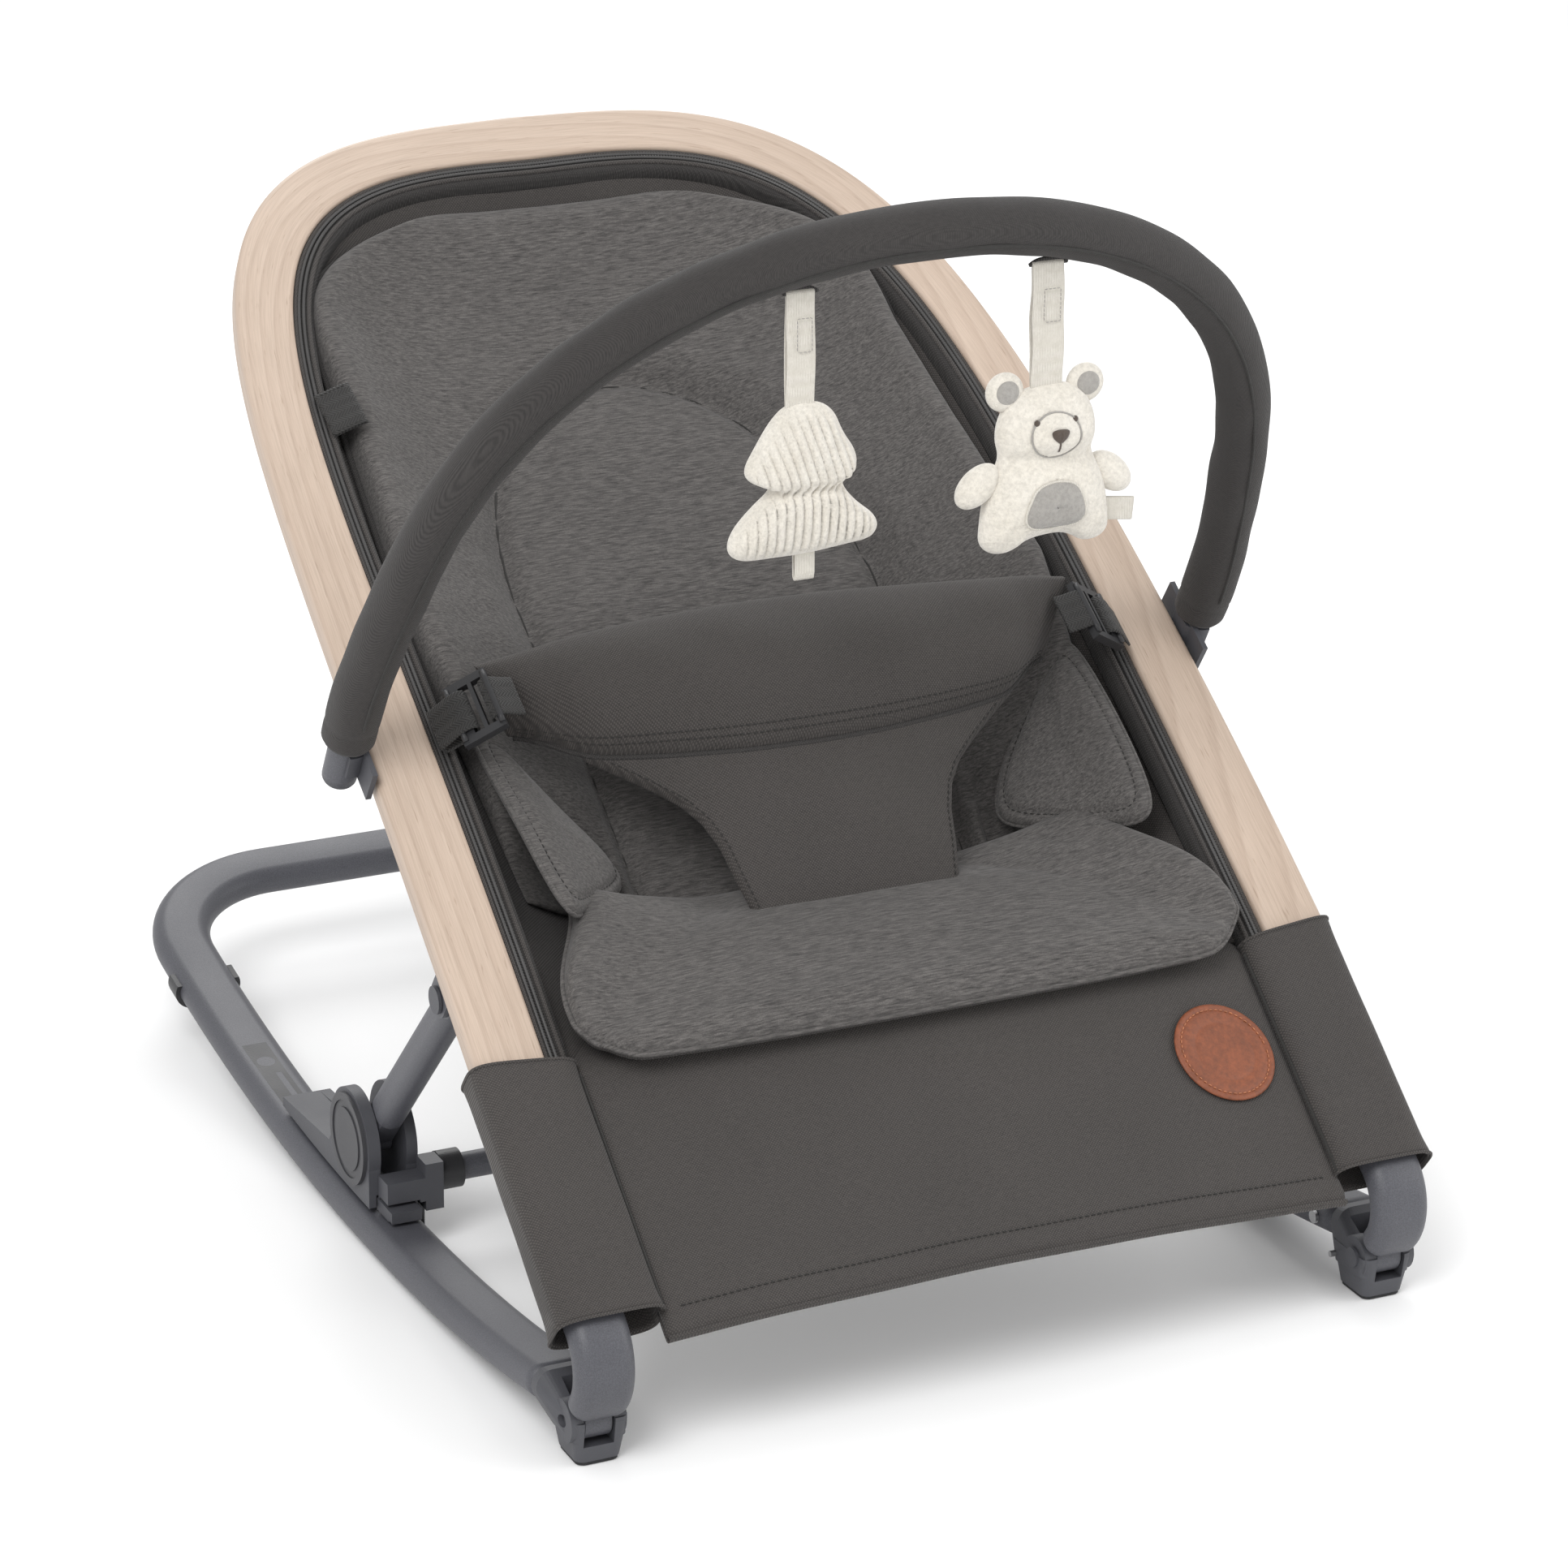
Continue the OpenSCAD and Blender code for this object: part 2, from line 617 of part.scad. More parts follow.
module webbing(side) {
    color(dark) in_seat() on_side(side) translate([158, 169, 26.2]) rotate([0, strap_lean, 0])
        translate([0, 0, -0.8]) cube([21, 25, 1.6]);
}

module buckle(side) {
    color(dark) in_seat() on_side(side) translate([158, 166, 28.5]) rotate([0, strap_lean, 0]) difference() {
        translate([-9, -2, -0.7]) cube([22, 34, 4]);
        for (x = [-6, 1]) translate([x, 2, -5]) cube([5, 26, 20]);
    }
}

// ---------- struts and carriages ----------

module strut(side) {
    eye_r = 9.5;
    color(steel) in_place() on_side(side) difference() {
        union() {
            translate([strut_x, bracket_pivot[0], bracket_pivot[1]]) rotate([strut_angle, 0, 0]) {
                difference() {
                    translate([0, 4, 0]) rotate([-90, 0, 0]) linear_extrude(height = strut_len - 32)
                        oval(strut_w, strut_d);
                    translate([0, 16, 0]) rotate([-90, 0, 0]) linear_extrude(height = strut_len - 54)
                        oval(strut_w - 3, strut_d - 3);
                }
                translate([0, strut_len - 18, 0]) cube([11, 36, 14], center = true);
                across_x(0, strut_w, eye_r);
            }
            translate([0, foot_pivot[0], foot_pivot[1]]) across_x(strut_x, 11.4, 8.5);
        }
        for (p = [bracket_pivot, foot_pivot])
            translate([0, p[0], p[1]]) across_x(strut_x, 60, strut_pin_r + run_gap);
    }
}

saddle_gap = 3.3;
housing_r = 25;
wall_out_x0 = 205;
wall_out_x1 = 211;
wall_in_x0 = 186.5;
wall_in_x1 = 192;
floor_z = 17.6;

// Frame of a carriage: origin on the runner's centre line below the strut foot.
module at_carriage() { at_runner(foot_pivot[0]) children(); }
floor_n = floor_z - base_tube_h / 2;
axis_n = foot_pivot[1] - base_tube_h / 2;

module carriage(side) {
    ramp = [[-24, floor_n], [96, floor_n + 2.5], [95, floor_n + 10], [30, floor_n + 15], [20, axis_n], [-24, axis_n]];
    color(plastic) in_place() on_side(side) difference() {
        union() {
            at_carriage() {
                for (w = [[wall_out_x0, wall_out_x1], [wall_in_x0, wall_in_x1]])
                    translate([w[0], 0, 0]) rotate([90, 0, 90]) linear_extrude(height = w[1] - w[0]) {
                        intersection() {
                            translate([0, axis_n]) circle(r = housing_r);
                            translate([-40, floor_n]) square([80, 80]);
                        }
                        polygon(ramp);
                    }
                translate([wall_in_x0, 0, 0]) rotate([90, 0, 90])
                    linear_extrude(height = wall_out_x1 - wall_in_x0)
                        polygon([[22, floor_n], [96, floor_n + 2.5], [95, floor_n + 10], [40, floor_n + 13], [22, floor_n + 13]]);
                translate([wall_in_x0, -24, floor_n]) cube([wall_out_x1 - wall_in_x0, 50, 3]);
                translate([wall_in_x0 - 3.4, -24, -3]) cube([3, 110, floor_n + 13]);
                translate([wall_in_x0 - 1, -24, floor_n + 2]) cube([2, 110, 7]);
            }
        }
        translate([0, foot_pivot[0], foot_pivot[1]]) across_x(strut_x, 80, strut_pin_r + 0.02);
        at_carriage() translate([191, -30, floor_n - 1]) cube([16.4, 16, 9.2]);
        along_rocker(foot_pivot[0] - 34, foot_pivot[0] + 116) translate([rocker_line_r, runner_x])
            oval(base_tube_h + 2 * saddle_gap, base_tube_w + 2 * saddle_gap);
    }
}

module disc_cap(side) {
    color(dark) in_place() on_side(side) at_carriage() translate([wall_out_x1 + 0.05, 0, axis_n]) rotate([0, 90, 0])
        difference() {
            cylinder(h = 2, r = 22.5);
            translate([0, 0, 1.3]) difference() {
                cylinder(h = 2, r = 19);
                translate([0, 0, -1]) cylinder(h = 4, r = 15.5);
            }
        }
}

module latch_block(side) {
    color(dark) in_place() on_side(side) at_carriage() difference() {
        union() {
            translate([187, -37, floor_n + 7]) cube([19.5, 12.4, 12]);
            translate([178.2, -37, floor_n + 2]) cube([9, 12.4, 24]);
        }
        translate([190, -38, floor_n - 1]) cube([18, 12, 9.4]);
    }
}

module carriage_pins() {
    color([0.25, 0.25, 0.27]) in_place() both_sides() translate([0, foot_pivot[0], foot_pivot[1]])
        across_x((wall_out_x1 + wall_in_x0) / 2 - 0.4, wall_out_x1 - wall_in_x0 + 0.6, strut_pin_r);
}

cross_bar_y = -26;
cross_bar_n = 26;

module cross_bar() {
    color(steel) in_place() at_carriage() translate([0, cross_bar_y, cross_bar_n]) difference() {
        across_x(0, 2 * 178, cross_bar_r);
        across_x(0, 2 * 178 + 2, cross_bar_r - 1.4);
    }
}

module bar_collars() {
    color(dark) in_place() at_carriage() translate([0, cross_bar_y, cross_bar_n]) both_sides() difference() {
        across_x(172, 11, cross_bar_r + 3);
        across_x(172, 20, cross_bar_r + 0.03);
    }
}

module release_tab(side) {
    color(plastic) in_place() on_side(side) at_carriage() difference() {
        translate([191.6, -43, floor_n + 0.6]) cube([15.2, 20, 6]);
        translate([185, -41, floor_n - 3.5]) rotate([0, 90, 0]) cylinder(h = 30, r = 5);
    }
}

// ---------- toy bar ----------

function arch_v(q) = arch_rise * pow(sin(q), 2 / 2.8);
function ease(v) = let (k = min(1, max(0, (v - bar_leg_v) / (splay_v - bar_leg_v)))) 1 - k * k * (3 - 2 * k);
function arch_x(q) = arch_half_w * sign(cos(q)) * pow(abs(cos(q)), 2 / 2.13)
    + sign(cos(q)) * (bar_leg_x - arch_half_w) * ease(arch_v(q));
function arch_point(q) = [arch_x(q), bar_foot[0] - arch_v(q) * sin(arch_lean),
    bar_foot[1] + arch_v(q) * cos(arch_lean)];
arch_q0 = 1.2;
arch_steps = 40;
function arch_q(k) = arch_q0 + (180 - 2 * arch_q0) * k / arch_steps;
function arch_ring(q, r, sides) =
    let (p = arch_point(q), d = arch_point(q + 0.2) - arch_point(q - 0.2), dir = d / norm(d),
        side = [0, cos(arch_lean), sin(arch_lean)], up = cross(side, dir))
    [for (k = [0 : sides - 1]) let (a = 360 * (k + 0.5) / sides) p + r * (cos(a) * side + sin(a) * up)];

module toy_bar_tube() {
    n = arch_steps;
    color(steel) in_place() {
        sweep([for (k = [0 : n]) arch_ring(arch_q(k), bar_r, 14)]);
        both_sides() at_bar_leg() translate([0, 0, bar_end_v]) cylinder(h = bar_leg_v - bar_end_v, r = bar_r);
    }
}

module toy_bar_sleeve() {
    n = arch_steps;
    color(twill) in_place() sweep([for (k = [0 : n]) arch_ring(arch_q(k), sleeve_r, 14),
        for (k = [n : -1 : 0]) arch_ring(arch_q(k), bar_r + 0.4, 14)], closed = true);
}

module bar_end_caps() {
    color(dark) in_place() both_sides() at_bar_leg() translate([0, 0, bar_end_v - 1.6])
        cylinder(h = 1.55, r = bar_r);
}

// ---------- toys ----------

function arch_z_at(x) = bar_foot[1] + cos(arch_lean) * arch_rise * pow(1 - pow(abs(x) / arch_half_w, 2.13), 1 / 2.8);
function arch_y_at(x) = bar_foot[0] - sin(arch_lean) * arch_rise * pow(1 - pow(abs(x) / arch_half_w, 2.13), 1 / 2.8);
strap_loop_r = sleeve_r + 2.6;
strap_w = 13;

module toy_strap(x, low_z) {
    y = arch_y_at(x);
    z = arch_z_at(x);
    color(cream) in_place() translate([x, y, z]) {
        rotate([0, 90, 0]) difference() {
            cylinder(h = strap_w, r = strap_loop_r + 1.6, center = true);
            cylinder(h = strap_w + 2, r = strap_loop_r, center = true);
        }
        translate([-strap_w / 2, -1.6, low_z - z]) cube([strap_w, 3.2, z - low_z - strap_loop_r - 0.6]);
    }
}

tree_top_z = 437;
tree_low_z = 372;
bear_top_z = 434;
bear_low_z = 360;

module tree_strap() { toy_strap(tree_x, tree_top_z + 0.3); }
module bear_strap() { toy_strap(bear_x, bear_top_z + 0.3); }

module tree_toy() {
    h = tree_top_z - tree_low_z;
    color(cream) in_place() translate([tree_x + 4, arch_y_at(tree_x), tree_low_z]) {
        hull() {
            translate([0, 0, 9]) scale([33, 12, 9]) sphere(r = 1, $fn = 24);
            translate([0, 0, h * 0.5]) scale([14, 8, 8]) sphere(r = 1, $fn = 24);
        }
        hull() {
            translate([0, 0, h * 0.5]) scale([25, 10, 7]) sphere(r = 1, $fn = 24);
            translate([-4, 0, h - 5]) scale([7, 6, 5]) sphere(r = 1, $fn = 24);
        }
        translate([-7, -1, -14]) cube([10, 2, 17]);
    }
}

module bear_toy() {
    color(cream) in_place() translate([bear_x, arch_y_at(bear_x), bear_low_z]) {
        hull() {
            translate([0, 0, 24]) scale([29, 16, 24]) sphere(r = 1, $fn = 24);
            translate([-2, 0, 52]) scale([22, 15, 22]) sphere(r = 1, $fn = 24);
        }
        for (s = [-1, 1]) {
            translate([-2 + s * 19, 1, 69]) scale([8, 5, 8]) sphere(r = 1, $fn = 20);
            hull() {
                translate([s * 24, 0, 40]) scale([8, 7, 8]) sphere(r = 1, $fn = 16);
                translate([s * 37, 0, 28]) scale([6, 6, 6]) sphere(r = 1, $fn = 16);
            }
        }
    }
}

base_tube();
front_cap(-1);  // front_cap_left
front_cap(1);  // front_cap_right
front_soles();
front_hinge_pins();
rear_pads();
track_plate(-1);  // track_plate_left
track_plate(1);  // track_plate_right
track_screws();
cap_rivets();
seat_tube();
seat_leg(-1);  // seat_leg_left
seat_leg(1);  // seat_leg_right
wood_trim();
strut_bracket(-1);  // strut_bracket_left
strut_bracket(1);  // strut_bracket_right
bracket_pins();
bar_clip(-1);  // bar_clip_left
bar_clip(1);  // bar_clip_right
seat_cover();
zip_tape();
back_cushion();
seat_cushion();
bolster(-1);  // bolster_left
bolster(1);  // bolster_right
front_panel();
boot(-1);  // boot_left
boot(1);  // boot_right
leather_patch();
side_tag();
waist_pad();
crotch_pad();
webbing(-1);  // webbing_left
webbing(1);  // webbing_right
buckle(-1);  // buckle_left
buckle(1);  // buckle_right
strut(-1);  // strut_left
strut(1);  // strut_right
carriage(-1);  // carriage_left
carriage(1);  // carriage_right
disc_cap(-1);  // disc_cap_left
disc_cap(1);  // disc_cap_right
latch_block(-1);  // latch_block_left
latch_block(1);  // latch_block_right
carriage_pins();
cross_bar();
bar_collars();
release_tab(-1);  // release_tab_left
release_tab(1);  // release_tab_right
toy_bar_tube();
toy_bar_sleeve();
bar_end_caps();
tree_strap();
tree_toy();
bear_strap();
bear_toy();
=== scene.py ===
import math

import bmesh
import bpy
import numpy as np
from mathutils import Matrix, Vector


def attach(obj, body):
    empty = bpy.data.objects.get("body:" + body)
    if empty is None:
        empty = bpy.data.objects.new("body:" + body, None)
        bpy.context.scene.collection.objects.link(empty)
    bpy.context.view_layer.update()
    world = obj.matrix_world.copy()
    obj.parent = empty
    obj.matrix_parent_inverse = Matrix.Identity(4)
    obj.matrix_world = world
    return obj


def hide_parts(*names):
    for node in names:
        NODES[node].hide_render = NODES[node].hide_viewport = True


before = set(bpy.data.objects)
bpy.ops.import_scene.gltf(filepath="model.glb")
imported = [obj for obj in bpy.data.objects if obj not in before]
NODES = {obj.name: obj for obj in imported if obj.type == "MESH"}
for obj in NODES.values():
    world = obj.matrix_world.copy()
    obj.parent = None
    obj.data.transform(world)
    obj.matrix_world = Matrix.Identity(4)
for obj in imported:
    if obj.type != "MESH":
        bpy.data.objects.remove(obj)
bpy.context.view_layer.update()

# ---------- layout, the same figures as the CAD part, in millimetres ----------
MID_Y = 207.07
SEAT_TILT = math.radians(32.2)
SEAT_Z = 149.0
TRIM_LEN = 575.0
TRIM_INNER_LEN = 543.0
TRIM_BULGE = 13.6
TRIM_HALF = 16.2
SEAT_TUBE_W, SEAT_TUBE_H, SEAT_TUBE_DEPTH = 28.0, 15.0, 11.4
ROCKER_Y, ROCKER_R = 160.0, 1300.0
BASE_W, BASE_H = 30.0, 16.0
RUNNER_X, BOW_R, BOW_START = 202.0, 65.0, 445.0
CAP_SEAM = -58.0
LEG_X, LEG_R, LEG_SLOPE, LEG_LEN = 199.0, 24.0, 38.0, 73.2
LEG_CENTRE = (-73.5, 47.0)
BAR_R, SLEEVE_R = 8.2, 13.1
ARCH_RISE, ARCH_HALF, BAR_LEG_X = 287.0, 215.5, 220.5
ARCH_LEAN = math.radians(30)
BAR_FOOT = (144.5, 261.0)
BAR_LEG_V, BAR_END_V, SPLAY_V = 14.0, -26.0, 110.0
TREE_X, BEAR_X = -60.0, 60.0

SEAT = Matrix.Translation((0, -MID_Y / 1000, SEAT_Z / 1000)) @ Matrix.Rotation(SEAT_TILT, 4, "X")
WORLD = Matrix.Translation((0, -MID_Y / 1000, 0))
rng = np.random.default_rng(11)


def bulge(u):
    return 4 * TRIM_BULGE * (u / TRIM_LEN) * (1 - u / TRIM_LEN)


def outline(u, half, taper, length, m, n):
    return (half - taper * u) * np.maximum(0, 1 - (np.maximum(u, 0) / length) ** m) ** (1 / n)


def outer_w(u):
    return outline(u, 215.0, 0.0228, TRIM_LEN, 6.5, 2.9)


def inner_w(u):
    return outline(np.minimum(u, TRIM_INNER_LEN), 182.5, 0.0156, TRIM_INNER_LEN, 5.5, 3.8)


def along(t, length):
    return t * length if t < 0 else length * (1 - (1 - t) ** 2.2)


def rail_frame(s):
    """Middle of the rail, the unit vector across it, and which side it is on."""
    t = 1 - abs(s)
    uo, ui = along(t, TRIM_LEN), along(t, TRIM_INNER_LEN)
    o, i = np.array([outer_w(uo), uo]), np.array([inner_w(ui), ui])
    return (o + i) / 2, (o - i) / np.linalg.norm(o - i), -1.0 if s < 0 else 1.0


def rail_point(s, a, d):
    mid, across, side = rail_frame(s)
    p = mid + across * a
    return np.array([side * p[0], p[1], bulge(p[1]) - d])


def sling_mid(u):
    crease, top = 108.0, 538.0
    back = (52 + 16 * np.exp(-((u - crease) / 70) ** 2)) * (1 - np.clip((u - crease) / (top - crease), 0, 1) ** 7) + 1
    front = 14 + (69.0 - 14) * (u + 2) / (crease + 2)
    return np.where(u > crease, back, front)


def sling_n(u, c):
    return bulge(u) - 4 - sling_mid(u) * (1 - np.abs(c) ** 3.4)


def sling_half(u):
    return inner_w(u) - 1.5


def smooth01(t):
    t = np.clip(t, 0, 1)
    return t * t * (3 - 2 * t)


def waves(x, y, size, seed, count=7):
    """A smooth random height of about -1 to 1 with features of the given size."""
    r = np.random.default_rng(seed)
    total = np.zeros(np.broadcast(x, y).shape)
    for _ in range(count):
        a, k, p = r.uniform(0, 2 * math.pi), r.uniform(0.6, 1.6) * 2 * math.pi / size, r.uniform(0, 6.28)
        total = total + np.sin((x * math.cos(a) + y * math.sin(a)) * k + p)
    return total / math.sqrt(count) / 1.4


# ---------- materials ----------
def material(name, rough=0.6, metal=0.0, sheen=0.0):
    mat = bpy.data.materials.new(name)
    mat.use_nodes = True
    nt = mat.node_tree
    shader = nt.nodes["Principled BSDF"]
    shader.inputs["Roughness"].default_value = rough
    shader.inputs["Metallic"].default_value = metal
    if sheen:
        shader.inputs["Sheen Weight"].default_value = sheen
        shader.inputs["Sheen Roughness"].default_value = 0.45
    return mat, nt, shader


def add(nt, kind, **values):
    node = nt.nodes.new(kind)
    for key, value in values.items():
        if key in node.inputs:
            node.inputs[key].default_value = value
        else:
            setattr(node, key, value)
    return node


def coords(nt, scale=(1, 1, 1), turn=(0, 0, 0), source="Object"):
    tex = add(nt, "ShaderNodeTexCoord")
    mapping = add(nt, "ShaderNodeMapping")
    mapping.inputs["Scale"].default_value = scale
    mapping.inputs["Rotation"].default_value = turn
    nt.links.new(tex.outputs[source], mapping.inputs["Vector"])
    return mapping.outputs["Vector"]


def noise_of(nt, vector, scale, detail=3.0, rough=0.5, distortion=0.0):
    node = add(nt, "ShaderNodeTexNoise")
    node.inputs["Scale"].default_value = scale
    node.inputs["Detail"].default_value = detail
    node.inputs["Roughness"].default_value = rough
    node.inputs["Distortion"].default_value = distortion
    nt.links.new(vector, node.inputs["Vector"])
    return node.outputs["Fac"]


def ramp_of(nt, value, stops):
    node = add(nt, "ShaderNodeValToRGB")
    while len(node.color_ramp.elements) < len(stops):
        node.color_ramp.elements.new(0.5)
    for element, (place, colour) in zip(node.color_ramp.elements, stops):
        element.position = place
        element.color = (*colour, 1)
    nt.links.new(value, node.inputs["Fac"])
    return node.outputs["Color"]


def math_of(nt, operation, a, b=None):
    node = add(nt, "ShaderNodeMath", operation=operation)
    for socket, value in zip(node.inputs, (a, b)):
        if value is None:
            continue
        if isinstance(value, (int, float)):
            socket.default_value = value
        else:
            nt.links.new(value, socket)
    return node.outputs[0]


def mix_of(nt, mode, factor, a, b):
    node = add(nt, "ShaderNodeMix", data_type="RGBA", blend_type=mode)
    sockets = (node.inputs[0], node.inputs[6], node.inputs[7])
    for socket, value in zip(sockets, (factor, a, b)):
        if isinstance(value, (int, float)):
            socket.default_value = value
        elif isinstance(value, tuple):
            socket.default_value = (*value, 1)
        else:
            nt.links.new(value, socket)
    return node.outputs[2]


def bump_of(nt, shader, heights):
    """Chains bumps: each height is (socket, strength, distance in metres)."""
    last = None
    for height, strength, distance in heights:
        node = add(nt, "ShaderNodeBump")
        node.inputs["Strength"].default_value = strength
        node.inputs["Distance"].default_value = distance
        nt.links.new(height, node.inputs["Height"])
        if last is not None:
            nt.links.new(last, node.inputs["Normal"])
        last = node.outputs["Normal"]
    nt.links.new(last, shader.inputs["Normal"])


def wave_of(nt, vector, scale, direction="X", distortion=0.0):
    node = add(nt, "ShaderNodeTexWave", wave_type="BANDS", bands_direction=direction)
    node.inputs["Scale"].default_value = scale
    node.inputs["Distortion"].default_value = distortion
    node.inputs["Detail"].default_value = 1.0
    nt.links.new(vector, node.inputs["Vector"])
    return node.outputs["Fac"]


def coated_metal(name, colour):
    mat, nt, shader = material(name, 0.46)
    v = coords(nt)
    fine = noise_of(nt, v, 1900, 2)
    broad = noise_of(nt, v, 14, 3)
    dark, light = tuple(c * 0.80 for c in colour), tuple(c * 1.22 for c in colour)
    speck = ramp_of(nt, fine, [(0.34, dark), (0.5, colour), (0.68, light)])
    tint = ramp_of(nt, broad, [(0.3, (0.93, 0.93, 0.93)), (0.7, (1.05, 1.05, 1.05))])
    nt.links.new(mix_of(nt, "MULTIPLY", 1.0, speck, tint), shader.inputs["Base Color"])
    nt.links.new(ramp_of(nt, broad, [(0.2, (0.42,) * 3), (0.8, (0.52,) * 3)]), shader.inputs["Roughness"])
    bump_of(nt, shader, [(fine, 0.35, 0.0002)])
    return mat


def plastic(name, colour, rough=0.5, grain=1100):
    mat, nt, shader = material(name, rough)
    v = coords(nt)
    cells = add(nt, "ShaderNodeTexVoronoi", feature="F1")
    cells.inputs["Scale"].default_value = grain
    nt.links.new(v, cells.inputs["Vector"])
    broad = noise_of(nt, v, 30, 3)
    low, high = tuple(c * 0.90 for c in colour), tuple(c * 1.10 for c in colour)
    nt.links.new(ramp_of(nt, broad, [(0.3, low), (0.7, high)]), shader.inputs["Base Color"])
    nt.links.new(ramp_of(nt, broad, [(0.2, (rough - 0.05,) * 3), (0.8, (rough + 0.07,) * 3)]), shader.inputs["Roughness"])
    bump_of(nt, shader, [(cells.outputs["Distance"], 0.22, 0.00025)])
    return mat


def bare_steel(name):
    mat, nt, shader = material(name, 0.34, 0.95)
    scratches = noise_of(nt, coords(nt, (1, 14, 14)), 300, 3)
    nt.links.new(ramp_of(nt, scratches, [(0.3, (0.42, 0.42, 0.43)), (0.7, (0.6, 0.6, 0.61))]), shader.inputs["Base Color"])
    nt.links.new(ramp_of(nt, scratches, [(0.2, (0.26,) * 3), (0.8, (0.42,) * 3)]), shader.inputs["Roughness"])
    bump_of(nt, shader, [(scratches, 0.1, 0.0001)])
    return mat


def soft_rubber(name):
    mat, nt, shader = material(name, 0.78)
    v = coords(nt)
    fine = noise_of(nt, v, 900, 4)
    nt.links.new(ramp_of(nt, fine, [(0.3, (0.010, 0.010, 0.011)), (0.7, (0.028, 0.028, 0.03))]), shader.inputs["Base Color"])
    bump_of(nt, shader, [(fine, 0.3, 0.0003)])
    return mat


WEAVE = 300.0


def twill(name, low, high, pitch=WEAVE, source="Object", strength=0.55):
    """Plain woven cloth: crossed yarns with a faint diagonal."""
    mat, nt, shader = material(name, 0.86, sheen=0.08)
    v = coords(nt, source=source)
    warp = wave_of(nt, coords(nt, (1, 1, 1), (0, 0, math.radians(45)), source), pitch, "X", 0.35)
    weft = wave_of(nt, coords(nt, (1, 1, 1), (0, 0, math.radians(45)), source), pitch, "Y", 0.35)
    cross = math_of(nt, "MULTIPLY", warp, weft)
    thread = noise_of(nt, coords(nt, (1, 5, 1), source=source), 420, 3, 0.6)
    broad = noise_of(nt, v, 11, 3)
    mixed = math_of(nt, "ADD", math_of(nt, "MULTIPLY", cross, 0.75), math_of(nt, "MULTIPLY", thread, 0.65))
    colour = ramp_of(nt, mixed, [(0.18, low), (0.55, tuple((a + b) / 2 for a, b in zip(low, high))), (0.9, high)])
    tint = ramp_of(nt, broad, [(0.3, (0.93,) * 3), (0.7, (1.06,) * 3)])
    nt.links.new(mix_of(nt, "MULTIPLY", 1.0, colour, tint), shader.inputs["Base Color"])
    bump_of(nt, shader, [(broad, 0.12, 0.004), (cross, strength, 0.00045)])
    return mat


def melange(name, low, high):
    """Heathered jersey: short streaks across the seat over a fine knit."""
    mat, nt, shader = material(name, 0.92, sheen=0.10)
    v = coords(nt)
    streak = noise_of(nt, coords(nt, (0.22, 2.0, 1), (0, 0, math.radians(-7))), 640, 4, 0.65, 0.3)
    knit = wave_of(nt, coords(nt, (1, 1, 1)), 700, "X", 1.0)
    rows = wave_of(nt, coords(nt, (1, 1, 1)), 520, "Y", 1.4)
    speck = noise_of(nt, v, 2100, 2)
    broad = noise_of(nt, v, 9, 3)
    base = ramp_of(nt, streak, [(0.30, low), (0.47, tuple(a * 0.55 + b * 0.45 for a, b in zip(low, high))), (0.66, high)])
    dots = ramp_of(nt, speck, [(0.35, (0.80,) * 3), (0.6, (1.1,) * 3)])
    tint = ramp_of(nt, broad, [(0.3, (0.94,) * 3), (0.7, (1.05,) * 3)])
    nt.links.new(mix_of(nt, "MULTIPLY", 1.0, mix_of(nt, "MULTIPLY", 1.0, base, dots), tint), shader.inputs["Base Color"])
    bump_of(nt, shader, [(broad, 0.08, 0.004), (math_of(nt, "MULTIPLY", knit, rows), 0.2, 0.0003), (speck, 0.12, 0.0002)])
    return mat


def tape(name, colour):
    """Ribbed herringbone tape with painted shade in its rib grooves and painted highlight on its ridges; UV x runs
    across it and y along it, in metres.
    """
    mat, nt, shader = material(name, 0.7, sheen=0.1)
    tex = add(nt, "ShaderNodeTexCoord")
    parts = add(nt, "ShaderNodeSeparateXYZ")
    nt.links.new(tex.outputs["UV"], parts.inputs[0])
    fold = math_of(nt, "PINGPONG", parts.outputs[0], 0.003)
    diagonal = math_of(nt, "ADD", parts.outputs[1], fold)
    ribs = math_of(nt, "SINE", math_of(nt, "MULTIPLY", diagonal, 2 * math.pi / 0.0017))
    height = math_of(nt, "MULTIPLY_ADD", ribs, 0.5)
    height.node.inputs[2].default_value = 0.5
    # painted shade and highlight: the tape's one colour is darkened in the rib grooves and lightened on the ridges,
    # following the rib height
    low, high = tuple(c * 0.55 for c in colour), tuple(c * 1.35 for c in colour)
    nt.links.new(ramp_of(nt, height, [(0.1, low), (0.8, high)]), shader.inputs["Base Color"])
    bump_of(nt, shader, [(height, 0.6, 0.0005)])
    return mat


